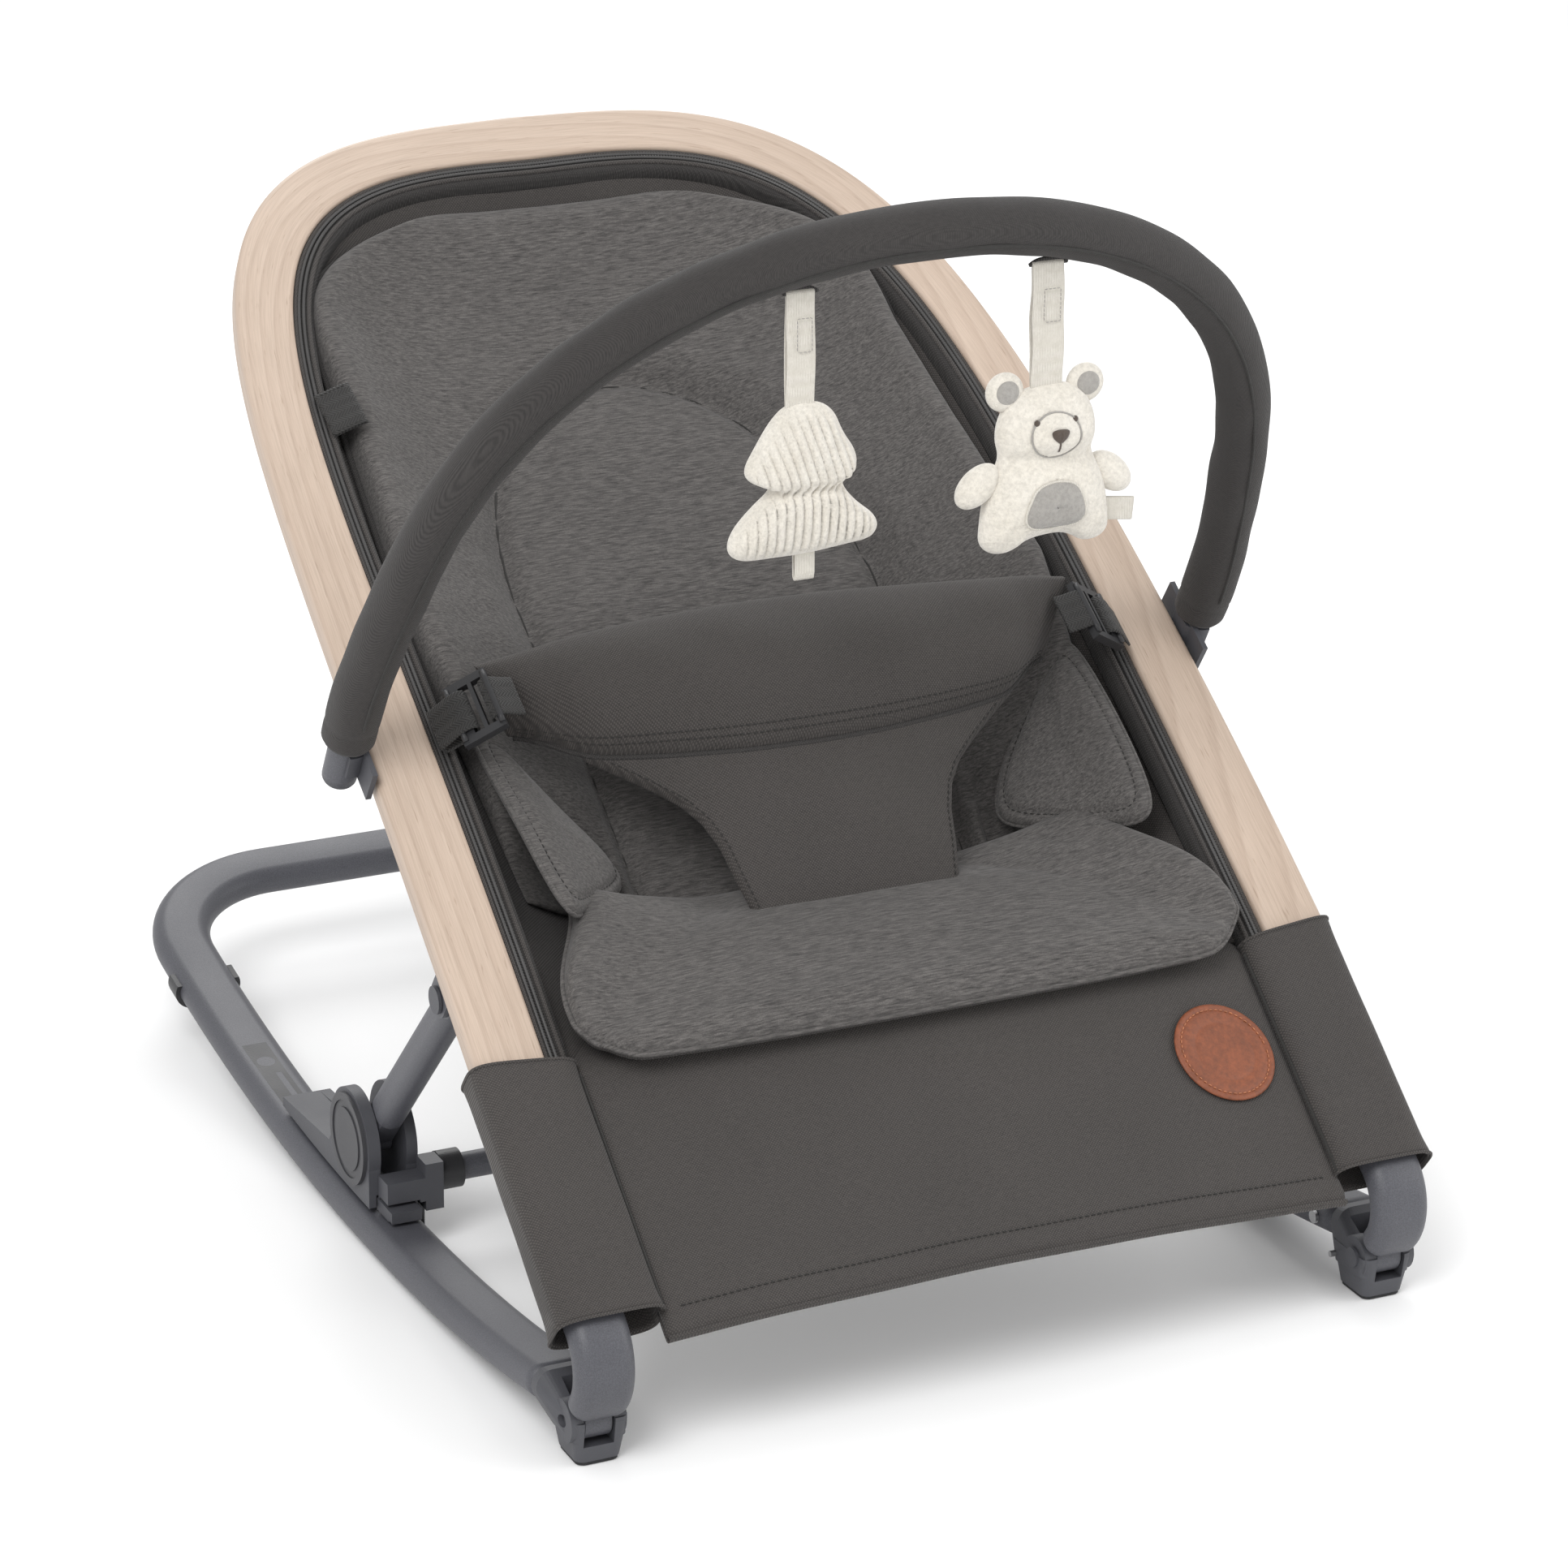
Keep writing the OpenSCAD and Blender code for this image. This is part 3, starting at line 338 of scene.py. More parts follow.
def ash(name):
    """Pale wood with arched grain; UV x runs across the rail and y along it, in metres."""
    mat, nt, shader = material(name, 0.5)
    v = coords(nt, (1, 0.085, 1), source="UV")
    warp = noise_of(nt, coords(nt, (1, 0.22, 1), source="UV"), 26, 2, 0.5)
    figure = add(nt, "ShaderNodeTexWave", wave_type="RINGS", rings_direction="Z", wave_profile="SAW")
    figure.inputs["Scale"].default_value = 44
    figure.inputs["Distortion"].default_value = 3.4
    figure.inputs["Detail"].default_value = 2.0
    figure.inputs["Detail Scale"].default_value = 0.9
    place = add(nt, "ShaderNodeMapping")
    place.inputs["Location"].default_value = (0.004, -0.014, 0)
    nt.links.new(v, place.inputs["Vector"])
    nt.links.new(place.outputs["Vector"], figure.inputs["Vector"])
    fibre = noise_of(nt, coords(nt, (1, 0.022, 1), source="UV"), 1500, 4, 0.6)
    fleck = noise_of(nt, coords(nt, (1, 0.09, 1), source="UV"), 700, 2, 0.5)
    light, mid, dark = (0.520, 0.415, 0.335), (0.480, 0.375, 0.298), (0.395, 0.298, 0.232)
    base = ramp_of(nt, figure.outputs["Fac"], [(0.0, light), (0.62, mid), (0.9, dark), (1.0, light)])
    soft = mix_of(nt, "MIX", 0.52, base, light)
    threads = ramp_of(nt, fibre, [(0.3, (0.87, 0.86, 0.85)), (0.6, (1.04, 1.04, 1.04))])
    pores = ramp_of(nt, fleck, [(0.26, (0.80, 0.77, 0.74)), (0.36, (1.0, 1.0, 1.0))])
    shade = ramp_of(nt, warp, [(0.3, (0.95, 0.94, 0.93)), (0.7, (1.04, 1.04, 1.04))])
    out = mix_of(nt, "MULTIPLY", 1.0, mix_of(nt, "MULTIPLY", 1.0, mix_of(nt, "MULTIPLY", 1.0, soft, threads), pores), shade)
    nt.links.new(out, shader.inputs["Base Color"])
    nt.links.new(ramp_of(nt, fibre, [(0.2, (0.42,) * 3), (0.8, (0.56,) * 3)]), shader.inputs["Roughness"])
    bump_of(nt, shader, [(fibre, 0.18, 0.0002), (fleck, 0.12, 0.0002)])
    return mat


def hide(name, colour):
    mat, nt, shader = material(name, 0.55)
    v = coords(nt)
    cells = add(nt, "ShaderNodeTexVoronoi", feature="DISTANCE_TO_EDGE")
    cells.inputs["Scale"].default_value = 900
    nt.links.new(v, cells.inputs["Vector"])
    grain = noise_of(nt, v, 420, 4, 0.6)
    broad = noise_of(nt, v, 40, 3)
    low, high = tuple(c * 0.72 for c in colour), tuple(c * 1.18 for c in colour)
    nt.links.new(mix_of(nt, "MULTIPLY", 1.0, ramp_of(nt, grain, [(0.3, low), (0.7, high)]),
                        ramp_of(nt, broad, [(0.3, (0.9,) * 3), (0.7, (1.08,) * 3)])), shader.inputs["Base Color"])
    nt.links.new(ramp_of(nt, grain, [(0.2, (0.46,) * 3), (0.8, (0.62,) * 3)]), shader.inputs["Roughness"])
    bump_of(nt, shader, [(cells.outputs["Distance"], 0.25, 0.0003), (grain, 0.25, 0.0003)])
    return mat


def plush(name, colour, fuzz=520):
    mat, nt, shader = material(name, 0.95, sheen=0.5)
    v = coords(nt)
    tuft = noise_of(nt, v, fuzz, 4, 0.65)
    broad = noise_of(nt, v, 60, 3)
    low, high = tuple(c * 0.83 for c in colour), tuple(min(1.0, c * 1.05) for c in colour)
    nt.links.new(mix_of(nt, "MULTIPLY", 1.0, ramp_of(nt, tuft, [(0.3, low), (0.62, high)]),
                        ramp_of(nt, broad, [(0.3, (0.95, 0.94, 0.92)), (0.7, (1.02, 1.02, 1.02))])), shader.inputs["Base Color"])
    bump_of(nt, shader, [(tuft, 0.7, 0.0012), (broad, 0.2, 0.002)])
    return mat


M = {
    "tube": coated_metal("coated_tube", (0.076, 0.077, 0.089)),
    "plastic": plastic("grey_plastic", (0.062, 0.063, 0.072), 0.52),
    "dark": plastic("dark_plastic", (0.020, 0.020, 0.022), 0.46),
    "disc": plastic("disc_plastic", (0.045, 0.045, 0.050), 0.5, 1500),
    "rubber": soft_rubber("rubber"),
    "steel": bare_steel("bright_steel"),
    "wood": ash("ash_trim"),
    "twill": twill("woven_twill", (0.024, 0.0212, 0.0200), (0.080, 0.0715, 0.0665)),
    "sleeve": twill("sleeve_twill", (0.016, 0.0145, 0.0140), (0.056, 0.0505, 0.0480), 760),
    "lining": twill("lining_cloth", (0.017, 0.0155, 0.0150), (0.050, 0.0460, 0.0440), 340),
    "melange": melange("melange_jersey", (0.034, 0.0315, 0.0308), (0.128, 0.1195, 0.1140)),
    "zip": plastic("zip_coil", (0.060, 0.058, 0.057), 0.42),
    "tape": tape("dark_tape", (0.021, 0.020, 0.019)),
    "thread": twill("seam_thread", (0.016, 0.015, 0.014), (0.042, 0.040, 0.037), 1500),
    "leather": hide("tan_leather", (0.215, 0.062, 0.025)),
    "leather_thread": hide("leather_thread", (0.40, 0.150, 0.070)),
    "cream": plush("cream_plush", (0.70, 0.665, 0.60)),
    "cord": plush("cream_corduroy", (0.70, 0.665, 0.60), 700),
    "grey_plush": plush("grey_plush", (0.34, 0.325, 0.305)),
    "ribbon": twill("cream_ribbon", (0.50, 0.47, 0.41), (0.72, 0.69, 0.63), 560),
    "brown": plush("brown_thread", (0.080, 0.060, 0.048)),
}


# ---------- mesh helpers ----------
def mesh_object(name, verts, faces, mat, matrix=None, uvs=None, smooth=True):
    mesh = bpy.data.meshes.new(name)
    mesh.from_pydata([tuple(float(c) / 1000 for c in v) for v in verts], [], [tuple(int(i) for i in f) for f in faces])
    bm = bmesh.new()
    bm.from_mesh(mesh)
    bmesh.ops.recalc_face_normals(bm, faces=bm.faces)
    if uvs is not None:
        layer = bm.loops.layers.uv.new("UVMap")
        for face in bm.faces:
            for loop in face.loops:
                loop[layer].uv = [float(c) / 1000 for c in uvs[loop.vert.index]]
    bm.to_mesh(mesh)
    bm.free()
    mesh.materials.append(mat)
    if smooth:
        mesh.polygons.foreach_set("use_smooth", [True] * len(mesh.polygons))
    obj = bpy.data.objects.new(name, mesh)
    bpy.context.scene.collection.objects.link(obj)
    obj.matrix_world = matrix if matrix is not None else WORLD
    return obj


def loft(name, rings, mat, matrix=None, cap=True, loop=False, uvs=None, smooth=True):
    """Joins rings of equal length. An open run is capped; a looped one meets itself."""
    rings = np.asarray(rings, float)
    count, size = rings.shape[:2]
    faces = []
    for i in range(count if loop else count - 1):
        a, b = i * size, ((i + 1) % count) * size
        for j in range(size):
            k = (j + 1) % size
            if uvs is not None and j == size - 1:
                continue
            faces.append((a + j, a + k, b + k, b + j))
    if cap and not loop:
        faces.append(tuple(range(size))[::-1])
        faces.append(tuple((count - 1) * size + j for j in range(size)))
    flat = None if uvs is None else np.asarray(uvs, float).reshape(-1, 2)
    return mesh_object(name, rings.reshape(-1, 3), faces, mat, matrix, flat, smooth)


def slab(name, top, bottom, mat, matrix=None, uvs=None):
    """A closed pad between two grids of points."""
    top, bottom = np.asarray(top, float), np.asarray(bottom, float)
    rows, cols = top.shape[:2]
    n = rows * cols
    faces = []
    for i in range(rows - 1):
        for j in range(cols - 1):
            a = i * cols + j
            quad = (a, a + 1, a + cols + 1, a + cols)
            faces.append(quad)
            faces.append(tuple(q + n for q in quad[::-1]))
    rim = [i * cols for i in range(rows - 1)] + [(rows - 1) * cols + j for j in range(cols - 1)]
    rim += [i * cols + cols - 1 for i in range(rows - 1, 0, -1)] + list(range(cols - 1, 0, -1))
    for k, a in enumerate(rim):
        b = rim[(k + 1) % len(rim)]
        faces.append((a, b, b + n, a + n))
    points = np.vstack([top.reshape(-1, 3), bottom.reshape(-1, 3)])
    flat = None if uvs is None else np.vstack([np.asarray(uvs, float).reshape(-1, 2)] * 2)
    return mesh_object(name, points, faces, mat, matrix, flat)


def frames_of(path, up=(0, 0, 1)):
    """Unit tangent, side and normal along a path."""
    path = np.asarray(path, float)
    tan = np.gradient(path, axis=0)
    tan /= np.linalg.norm(tan, axis=1)[:, None]
    side = np.cross(tan, np.asarray(up, float))
    side /= np.maximum(np.linalg.norm(side, axis=1)[:, None], 1e-9)
    return path, tan, side, np.cross(side, tan)


def tube(name, path, radius, mat, matrix=None, sides=12, up=(0, 0, 1), loop=False, flat=1.0):
    path, _, side, normal = frames_of(path, up)
    if loop:
        tan = np.roll(path, -1, 0) - np.roll(path, 1, 0)
        tan /= np.linalg.norm(tan, axis=1)[:, None]
        side = np.cross(tan, np.asarray(up, float))
        side /= np.linalg.norm(side, axis=1)[:, None]
        normal = np.cross(side, tan)
    radius = np.broadcast_to(np.asarray(radius, float), len(path))
    q = np.linspace(0, 2 * math.pi, sides, endpoint=False)
    rings = path[:, None] + radius[:, None, None] * (np.cos(q)[None, :, None] * side[:, None]
                                                     + flat * np.sin(q)[None, :, None] * normal[:, None])
    return loft(name, rings, mat, matrix, loop=loop)


def ribbon(name, path, across, width, thick, mat, matrix=None, widths=None):
    """A flat band along a path; across is the direction of its width."""
    path = np.asarray(path, float)
    across = np.asarray(across, float)
    across = np.broadcast_to(across, path.shape) / np.linalg.norm(across, axis=-1, keepdims=True)
    tan = np.gradient(path, axis=0)
    tan /= np.linalg.norm(tan, axis=1)[:, None]
    normal = np.cross(tan, across)
    half = (np.full(len(path), width / 2) if widths is None else np.asarray(widths) / 2)[:, None]
    r = thick / 2
    section = [(-1, -0.6), (-1, 0.6), (-0.94, 1), (-0.5, 1), (0, 1), (0.5, 1), (0.94, 1),
               (1, 0.6), (1, -0.6), (0.94, -1), (0.5, -1), (0, -1), (-0.5, -1), (-0.94, -1)]
    rings = np.stack([path + across * half * a + normal * r * b for a, b in section], 1)
    run = np.concatenate([[0], np.cumsum(np.linalg.norm(np.diff(path, axis=0), axis=1))])
    uvs = np.stack([np.stack([half[:, 0] * a + width, run], 1) for a, _ in section], 1)
    obj = loft(name, rings, mat, matrix)
    layer = obj.data.uv_layers.new(name="UVMap")
    flat_uv = uvs.reshape(-1, 2) / 1000
    for item in obj.data.loops:
        layer.data[item.index].uv = flat_uv[item.vertex_index]
    return obj


def oval_ring(w, h, sides=40):
    q = 2 * math.pi * (np.arange(sides) + 0.5) / sides
    return np.stack([np.sign(np.cos(q)) * (w - h) / 2 + h / 2 * np.cos(q), h / 2 * np.sin(q)], 1)


def place(obj, body, slot, *replaced):
    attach(obj, body)
    if replaced:
        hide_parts(*replaced)
    return obj


def dress(name, mat, bevel=0.0005):
    """Gives a kept CAD node its finish and softened edges."""
    obj = NODES[name]
    obj.data.materials.clear()
    obj.data.materials.append(mat)
    if bevel:
        mod = obj.modifiers.new("soft_edges", "BEVEL")
        mod.width = bevel
        mod.segments = 2
        mod.limit_method = "ANGLE"
        mod.angle_limit = math.radians(40)
        mod.harden_normals = False
    return obj


def smooth_by_angle(obj, degrees=35):
    """Marks sharp edges so that only the soft ones are shaded smooth."""
    limit = math.cos(math.radians(degrees))
    bm = bmesh.new()
    bm.from_mesh(obj.data)
    for edge in bm.edges:
        if len(edge.link_faces) == 2:
            edge.smooth = edge.link_faces[0].normal.dot(edge.link_faces[1].normal) > limit
    bm.to_mesh(obj.data)
    bm.free()


def stitches(name, path, normal, mat, matrix=None, pitch=3.2, length=2.2, radius=0.28, lift=0.1):
    """A row of thread stitches along a path, as one piece."""
    path, normal = np.asarray(path, float), np.asarray(normal, float)
    run = np.concatenate([[0], np.cumsum(np.linalg.norm(np.diff(path, axis=0), axis=1))])
    starts = np.arange(pitch / 2, run[-1] - length, pitch)
    verts, faces = [], []
    sides = 6

    def at(d):
        p = np.array([np.interp(d, run, path[:, k]) for k in range(3)])
        n = np.array([np.interp(d, run, normal[:, k]) for k in range(3)])
        return p, n / np.linalg.norm(n)

    for s in starts:
        base = len(verts)
        for f, swell in ((0, 0.35), (0.2, 1), (0.5, 1.12), (0.8, 1), (1, 0.35)):
            p, n = at(s + f * length)
            q, _ = at(s + f * length + 0.05)
            t = (q - p) / max(np.linalg.norm(q - p), 1e-9)
            b = np.cross(t, n)
            centre = p + n * (lift + radius * (4 * f * (1 - f) - 0.4))
            for k in range(sides):
                a = 2 * math.pi * k / sides
                verts.append(centre + radius * swell * (math.cos(a) * b + math.sin(a) * n))
        for i in range(4):
            for k in range(sides):
                a, b2 = base + i * sides + k, base + i * sides + (k + 1) % sides
                faces.append((a, b2, b2 + sides, a + sides))
        faces.append(tuple(base + k for k in range(sides))[::-1])
        faces.append(tuple(base + 4 * sides + k for k in range(sides)))
    return mesh_object(name, verts, faces, mat, matrix)


def puff(obj, pressure, cap_mm, pinned=None, frames=20):
    """Lets the pad swell as cloth, and keeps each point within cap_mm of where it started."""
    scene = bpy.context.scene
    rest = np.array([v.co for v in obj.data.vertices], float)
    mod = obj.modifiers.new("cloth", "CLOTH")
    settings = mod.settings
    settings.quality = 4
    settings.use_pressure = True
    settings.uniform_pressure_force = pressure
    settings.tension_stiffness = 8
    settings.compression_stiffness = 8
    settings.shear_stiffness = 4
    settings.bending_stiffness = 0.4
    settings.effector_weights.gravity = 0
    mod.collision_settings.use_collision = False
    mod.collision_settings.use_self_collision = False
    if pinned is not None:
        group = obj.vertex_groups.new(name="held")
        for index, weight in enumerate(pinned):
            if weight > 0.01:
                group.add([index], float(weight), "REPLACE")
        settings.vertex_group_mass = "held"
    mod.point_cache.frame_start, mod.point_cache.frame_end = 1, frames
    for f in range(1, frames + 1):
        scene.frame_set(f)
    evaluated = obj.evaluated_get(bpy.context.evaluated_depsgraph_get())
    moved = np.array([v.co for v in evaluated.data.vertices], float)
    obj.modifiers.remove(mod)
    scene.frame_set(1)
    step = moved - rest
    size = np.linalg.norm(step, axis=1)
    limit = cap_mm / 1000
    scale = np.where(size > limit, limit / np.maximum(size, 1e-9), 1.0)
    final = rest + step * scale[:, None]
    obj.data.vertices.foreach_set("co", final.ravel())
    obj.data.update()


def subdivide(obj, levels=1):
    mod = obj.modifiers.new("finer", "SUBSURF")
    mod.levels = mod.render_levels = levels
    return mod


# ---------- base ----------
def arc_angle(y):
    return np.arcsin((y - ROCKER_Y) / (ROCKER_R - BASE_H / 2))


def base_half(front):
    line = ROCKER_R - BASE_H / 2
    out = []
    for y in np.linspace(front, BOW_START, 70)[:-1]:
        a = arc_angle(y)
        out.append(([RUNNER_X, y, ROCKER_R - line * math.cos(a)], [1, 0, 0], [0, -math.sin(a), math.cos(a)]))
    a = arc_angle(BOW_START)
    for b in np.radians(np.linspace(0, 90, 22)):
        o = np.array([math.cos(b), math.sin(b) * math.cos(a), math.sin(b) * math.sin(a)])
        p = np.array([RUNNER_X - BOW_R, BOW_START, ROCKER_R - line * math.cos(a)]) + BOW_R * o
        out.append((p, o, [0, -math.sin(a), math.cos(a)]))
    return out


def base_rings(w, h, front):
    half = base_half(front)
    mirror = np.array([-1, 1, 1])
    rows = [(np.array(p), np.array(o), np.array(n)) for p, o, n in half]
    rows += [(p * mirror, o * mirror, n) for p, o, n in rows[::-1]]
    ring = oval_ring(w, h)
    return np.array([[p + a * o + b * n for a, b in ring] for p, o, n in rows])


outer, inner = base_rings(BASE_W, BASE_H, CAP_SEAM), base_rings(BASE_W - 3.2, BASE_H - 3.2, CAP_SEAM)
place(loft("base_tube_looks", np.concatenate([outer, inner[::-1]]), M["tube"], loop=True),
      "base", "coated_tube", "base_tube")

# ---------- seat frame ----------
FINE = 90
STATIONS = [k / FINE - 1 for k in range(2 * FINE + 1)]


def rail_stations(low):
    far = 1 - low / TRIM_LEN
    ends = [-far - 0.0, -(far + 1) / 2]
    return ends + STATIONS + [(far + 1) / 2, far]


def rail_loft(name, section, low, mat, uv=False, inner_section=None):
    st = rail_stations(low)
    rings = np.array([[rail_point(s, a, d) for a, d in section] for s in st])
    uvs = None
    if uv:
        middle = rings.mean(1)
        run = np.concatenate([[0], np.cumsum(np.linalg.norm(np.diff(middle, axis=0), axis=1))])
        width = np.concatenate([[0], np.cumsum(np.linalg.norm(np.diff(np.array(section), axis=0), axis=1))])
        uvs = np.array([[(w, r) for w in width] for r in run])
    if inner_section is not None:
        back = np.array([[rail_point(s, a, d) for a, d in inner_section] for s in st[::-1]])
        return loft(name, np.concatenate([rings, back]), mat, SEAT, loop=True)
    return loft(name, rings, mat, SEAT, uvs=uvs)


def rounded_section(half, top, bottom, r, chamfer, steps=5):
    """Cross-section of the trim, starting and ending under its middle."""
    pts = [(0, bottom), (-half + 1.2, bottom), (-half, bottom - 1.2)]
    for k in range(steps + 1):
        q = math.radians(90 * k / steps)
        pts.append((-half + chamfer - chamfer * math.cos(q), top + chamfer - chamfer * math.sin(q)))
    for x in np.linspace(-half + chamfer, half - r, 9)[1:-1]:
        pts.append((x, top))
    for k in range(steps + 1):
        q = math.radians(90 * k / steps)
        pts.append((half - r + r * math.sin(q), top + r - r * math.cos(q)))
    return pts + [(half, bottom - 1.2), (half - 1.2, bottom), (0.01, bottom)]


trim = rail_loft("wood_trim_looks", rounded_section(TRIM_HALF, 0.0, 12.6, 3.2, 2.2), -14, M["wood"], uv=True)
place(trim, "seat", "ash_trim", "wood_trim")

tube_outer = [(a, SEAT_TUBE_DEPTH - b) for a, b in oval_ring(SEAT_TUBE_W, SEAT_TUBE_H, 32)]
tube_inner = [(a, SEAT_TUBE_DEPTH - b) for a, b in oval_ring(SEAT_TUBE_W - 3.2, SEAT_TUBE_H - 3.2, 32)]
place(rail_loft("seat_tube_looks", tube_outer, -46, M["tube"], inner_section=tube_inner),
      "seat", "coated_tube", "seat_tube")


def leg_frame(deg):
    a = math.radians(deg)
    out = np.array([0, math.sin(a), -math.cos(a)])
    return np.array([LEG_X, LEG_CENTRE[0], LEG_CENTRE[1]]) + LEG_R * out, out


def leg_rings(w, h, low, reach, steps=22):
    high = 180 + LEG_SLOPE
    ring = oval_ring(w, h)
    rows = [leg_frame(a) for a in np.linspace(low, high, steps)]
    p0, n0 = rows[-1]
    run = np.array([0, math.cos(math.radians(LEG_SLOPE)), math.sin(math.radians(LEG_SLOPE))])
    rows += [(p0 + run * d, n0) for d in np.linspace(0, reach, 5)[1:]]
    return np.array([[p + np.array([1, 0, 0]) * a + n * b for a, b in ring] for p, n in rows])


def flipped(rings, side):
    return np.asarray(rings) * np.array([side, 1, 1])


for side, word in ((-1, "left"), (1, "right")):
    shell = leg_rings(SEAT_TUBE_W, SEAT_TUBE_H, 312, LEG_LEN)
    end = [shell[0].mean(0) + (shell[0] - shell[0].mean(0)) * k for k in (0.10, 0.86, 0.95)]
    ahead = np.array([0, 0.9, -1.6])
    nose = np.array([end[0] + ahead, end[1] + ahead, end[2] + ahead * 0.8])
    leg = loft(f"seat_leg_{word}_looks", flipped(np.concatenate([nose, shell]), side), M["tube"])
    place(leg, "seat", "coated_tube")
    tongue = []
    for a in np.linspace(338, 304, 9):
        p, n = leg_frame(a)
        tongue.append([p + np.array([x, 0, 0]) + n * b for x, b in
                       ((-6.9, -5.4), (-6.9, 5.4), (-5.9, 6.4), (5.9, 6.4), (6.9, 5.4), (6.9, -5.4), (5.9, -6.4), (-5.9, -6.4))])
    stem = loft(f"leg_tongue_{word}", flipped(tongue, side), M["tube"])
    smooth_by_angle(stem)
    place(stem, "seat", "coated_tube")
    eye = []
    for x, r in ((-6.9, 3.1), (-6.9, 8.7), (-6.2, 9.4), (6.2, 9.4), (6.9, 8.7), (6.9, 3.1)):
        q = np.linspace(0, 2 * math.pi, 40, endpoint=False)
        eye.append(np.stack([np.full(40, LEG_X + x), -82 + r * np.cos(q), 20 + r * np.sin(q)], 1))
    knuckle = loft(f"leg_eye_{word}", flipped(eye, side), M["tube"], loop=True)
    smooth_by_angle(knuckle)
    place(knuckle, "seat", "coated_tube", f"seat_leg_{word}")

# ---------- toy bar ----------


def arch_point(deg):
    q = math.radians(deg)
    v = ARCH_RISE * math.sin(q) ** (2 / 2.8)
    k = min(1, max(0, (v - BAR_LEG_V) / (SPLAY_V - BAR_LEG_V)))
    sign = math.copysign(1, math.cos(q))
    x = sign * (ARCH_HALF * abs(math.cos(q)) ** (2 / 2.13) + (BAR_LEG_X - ARCH_HALF) * (1 - k * k * (3 - 2 * k)))
    return np.array([x, BAR_FOOT[0] - v * math.sin(ARCH_LEAN), BAR_FOOT[1] + v * math.cos(ARCH_LEAN)])


def arch_at(x):
    v = ARCH_RISE * (1 - abs(x / ARCH_HALF) ** 2.13) ** (1 / 2.8)
    return np.array([x, BAR_FOOT[0] - math.sin(ARCH_LEAN) * v, BAR_FOOT[1] + math.cos(ARCH_LEAN) * v])


def even(path, step):
    path = np.asarray(path, float)
    run = np.concatenate([[0], np.cumsum(np.linalg.norm(np.diff(path, axis=0), axis=1))])
    d = np.linspace(0, run[-1], max(3, int(run[-1] / step)))
    return np.stack([np.interp(d, run, path[:, k]) for k in range(3)], 1)


arch = even([arch_point(q) for q in np.linspace(0.6, 179.4, 600)], 3.0)
LEG_DIR = np.array([0, -math.sin(ARCH_LEAN), math.cos(ARCH_LEAN)])
ARCH_SIDE = (0, math.cos(ARCH_LEAN), math.sin(ARCH_LEAN))
foot_l, foot_r = np.array([-BAR_LEG_X, *BAR_FOOT]), np.array([BAR_LEG_X, *BAR_FOOT])
lower_r = [foot_r + LEG_DIR * v for v in np.linspace(BAR_END_V + 2.2, BAR_LEG_V, 8)]
lower_l = [foot_l + LEG_DIR * v for v in np.linspace(BAR_LEG_V, BAR_END_V + 2.2, 8)]
bar_path = even(np.array(lower_r + [p for p in arch if p[2] > BAR_FOOT[1] + BAR_LEG_V + 4] + lower_l), 4.0)
place(tube("toy_bar_tube_looks", bar_path, BAR_R, M["tube"], sides=28, up=ARCH_SIDE), "toy_bar", "coated_tube", "toy_bar_tube")
for side, word in ((-1, "left"), (1, "right")):
    foot = np.array([side * BAR_LEG_X, *BAR_FOOT])
    cap_path = [foot + LEG_DIR * v for v in (BAR_END_V + 4, BAR_END_V + 1.5, BAR_END_V + 0.2, BAR_END_V - 1.0, BAR_END_V - 1.6)]
    place(tube(f"bar_end_{word}", cap_path, [BAR_R - 0.1, BAR_R - 0.1, BAR_R - 0.7, BAR_R - 2.4, BAR_R - 5.5], M["plastic"],
               sides=28, up=ARCH_SIDE), "toy_bar", "dark_plastic", *(["bar_end_caps"] if side < 0 else []))

sleeve_path = even(np.array([foot_r + LEG_DIR * 1.0] + [p for p in arch if p[2] > BAR_FOOT[1] + 2] + [foot_l + LEG_DIR * 1.0]), 2.4)
sway = np.array([waves(np.array(i * 2.4), np.array(0.0), 46, 3) for i in range(len(sleeve_path))])
swell = SLEEVE_R - 0.35 + 0.22 * sway
rows = np.arange(len(sleeve_path))
edge = np.minimum(rows, rows[::-1]) * 2.4
swell = swell * np.where(edge < 2.4, 0.90, 1.0) - 0.45 * np.exp(-((edge - 12) / 1.6) ** 2)
outer_sleeve = frames_of(sleeve_path, ARCH_SIDE)
q = np.linspace(0, 2 * math.pi, 40, endpoint=False)
path, _, s_side, s_norm = outer_sleeve
ring_unit = np.cos(q)[None, :, None] * s_side[:, None] + np.sin(q)[None, :, None] * s_norm[:, None]
wrinkle = 0.22 * waves(rows[:, None] * 2.4, q[None, :] * 13, 30, 8)
skin = path[:, None] + (swell[:, None] + wrinkle)[..., None] * ring_unit
core = path[:, None] + (BAR_R + 0.5) * ring_unit
place(loft("toy_bar_sleeve_looks", np.concatenate([skin, core[::-1]]), M["sleeve"], loop=True),
      "toy_bar", "woven_twill", "toy_bar_sleeve")
inside = path + (s_norm if s_norm[len(path) // 2][2] < 0 else -s_norm) * (SLEEVE_R - 0.25)
seam_path = inside[8:-8]
place(tube("sleeve_seam", seam_path, 0.75, M["thread"], sides=8, up=ARCH_SIDE), "toy_bar", "woven_twill")

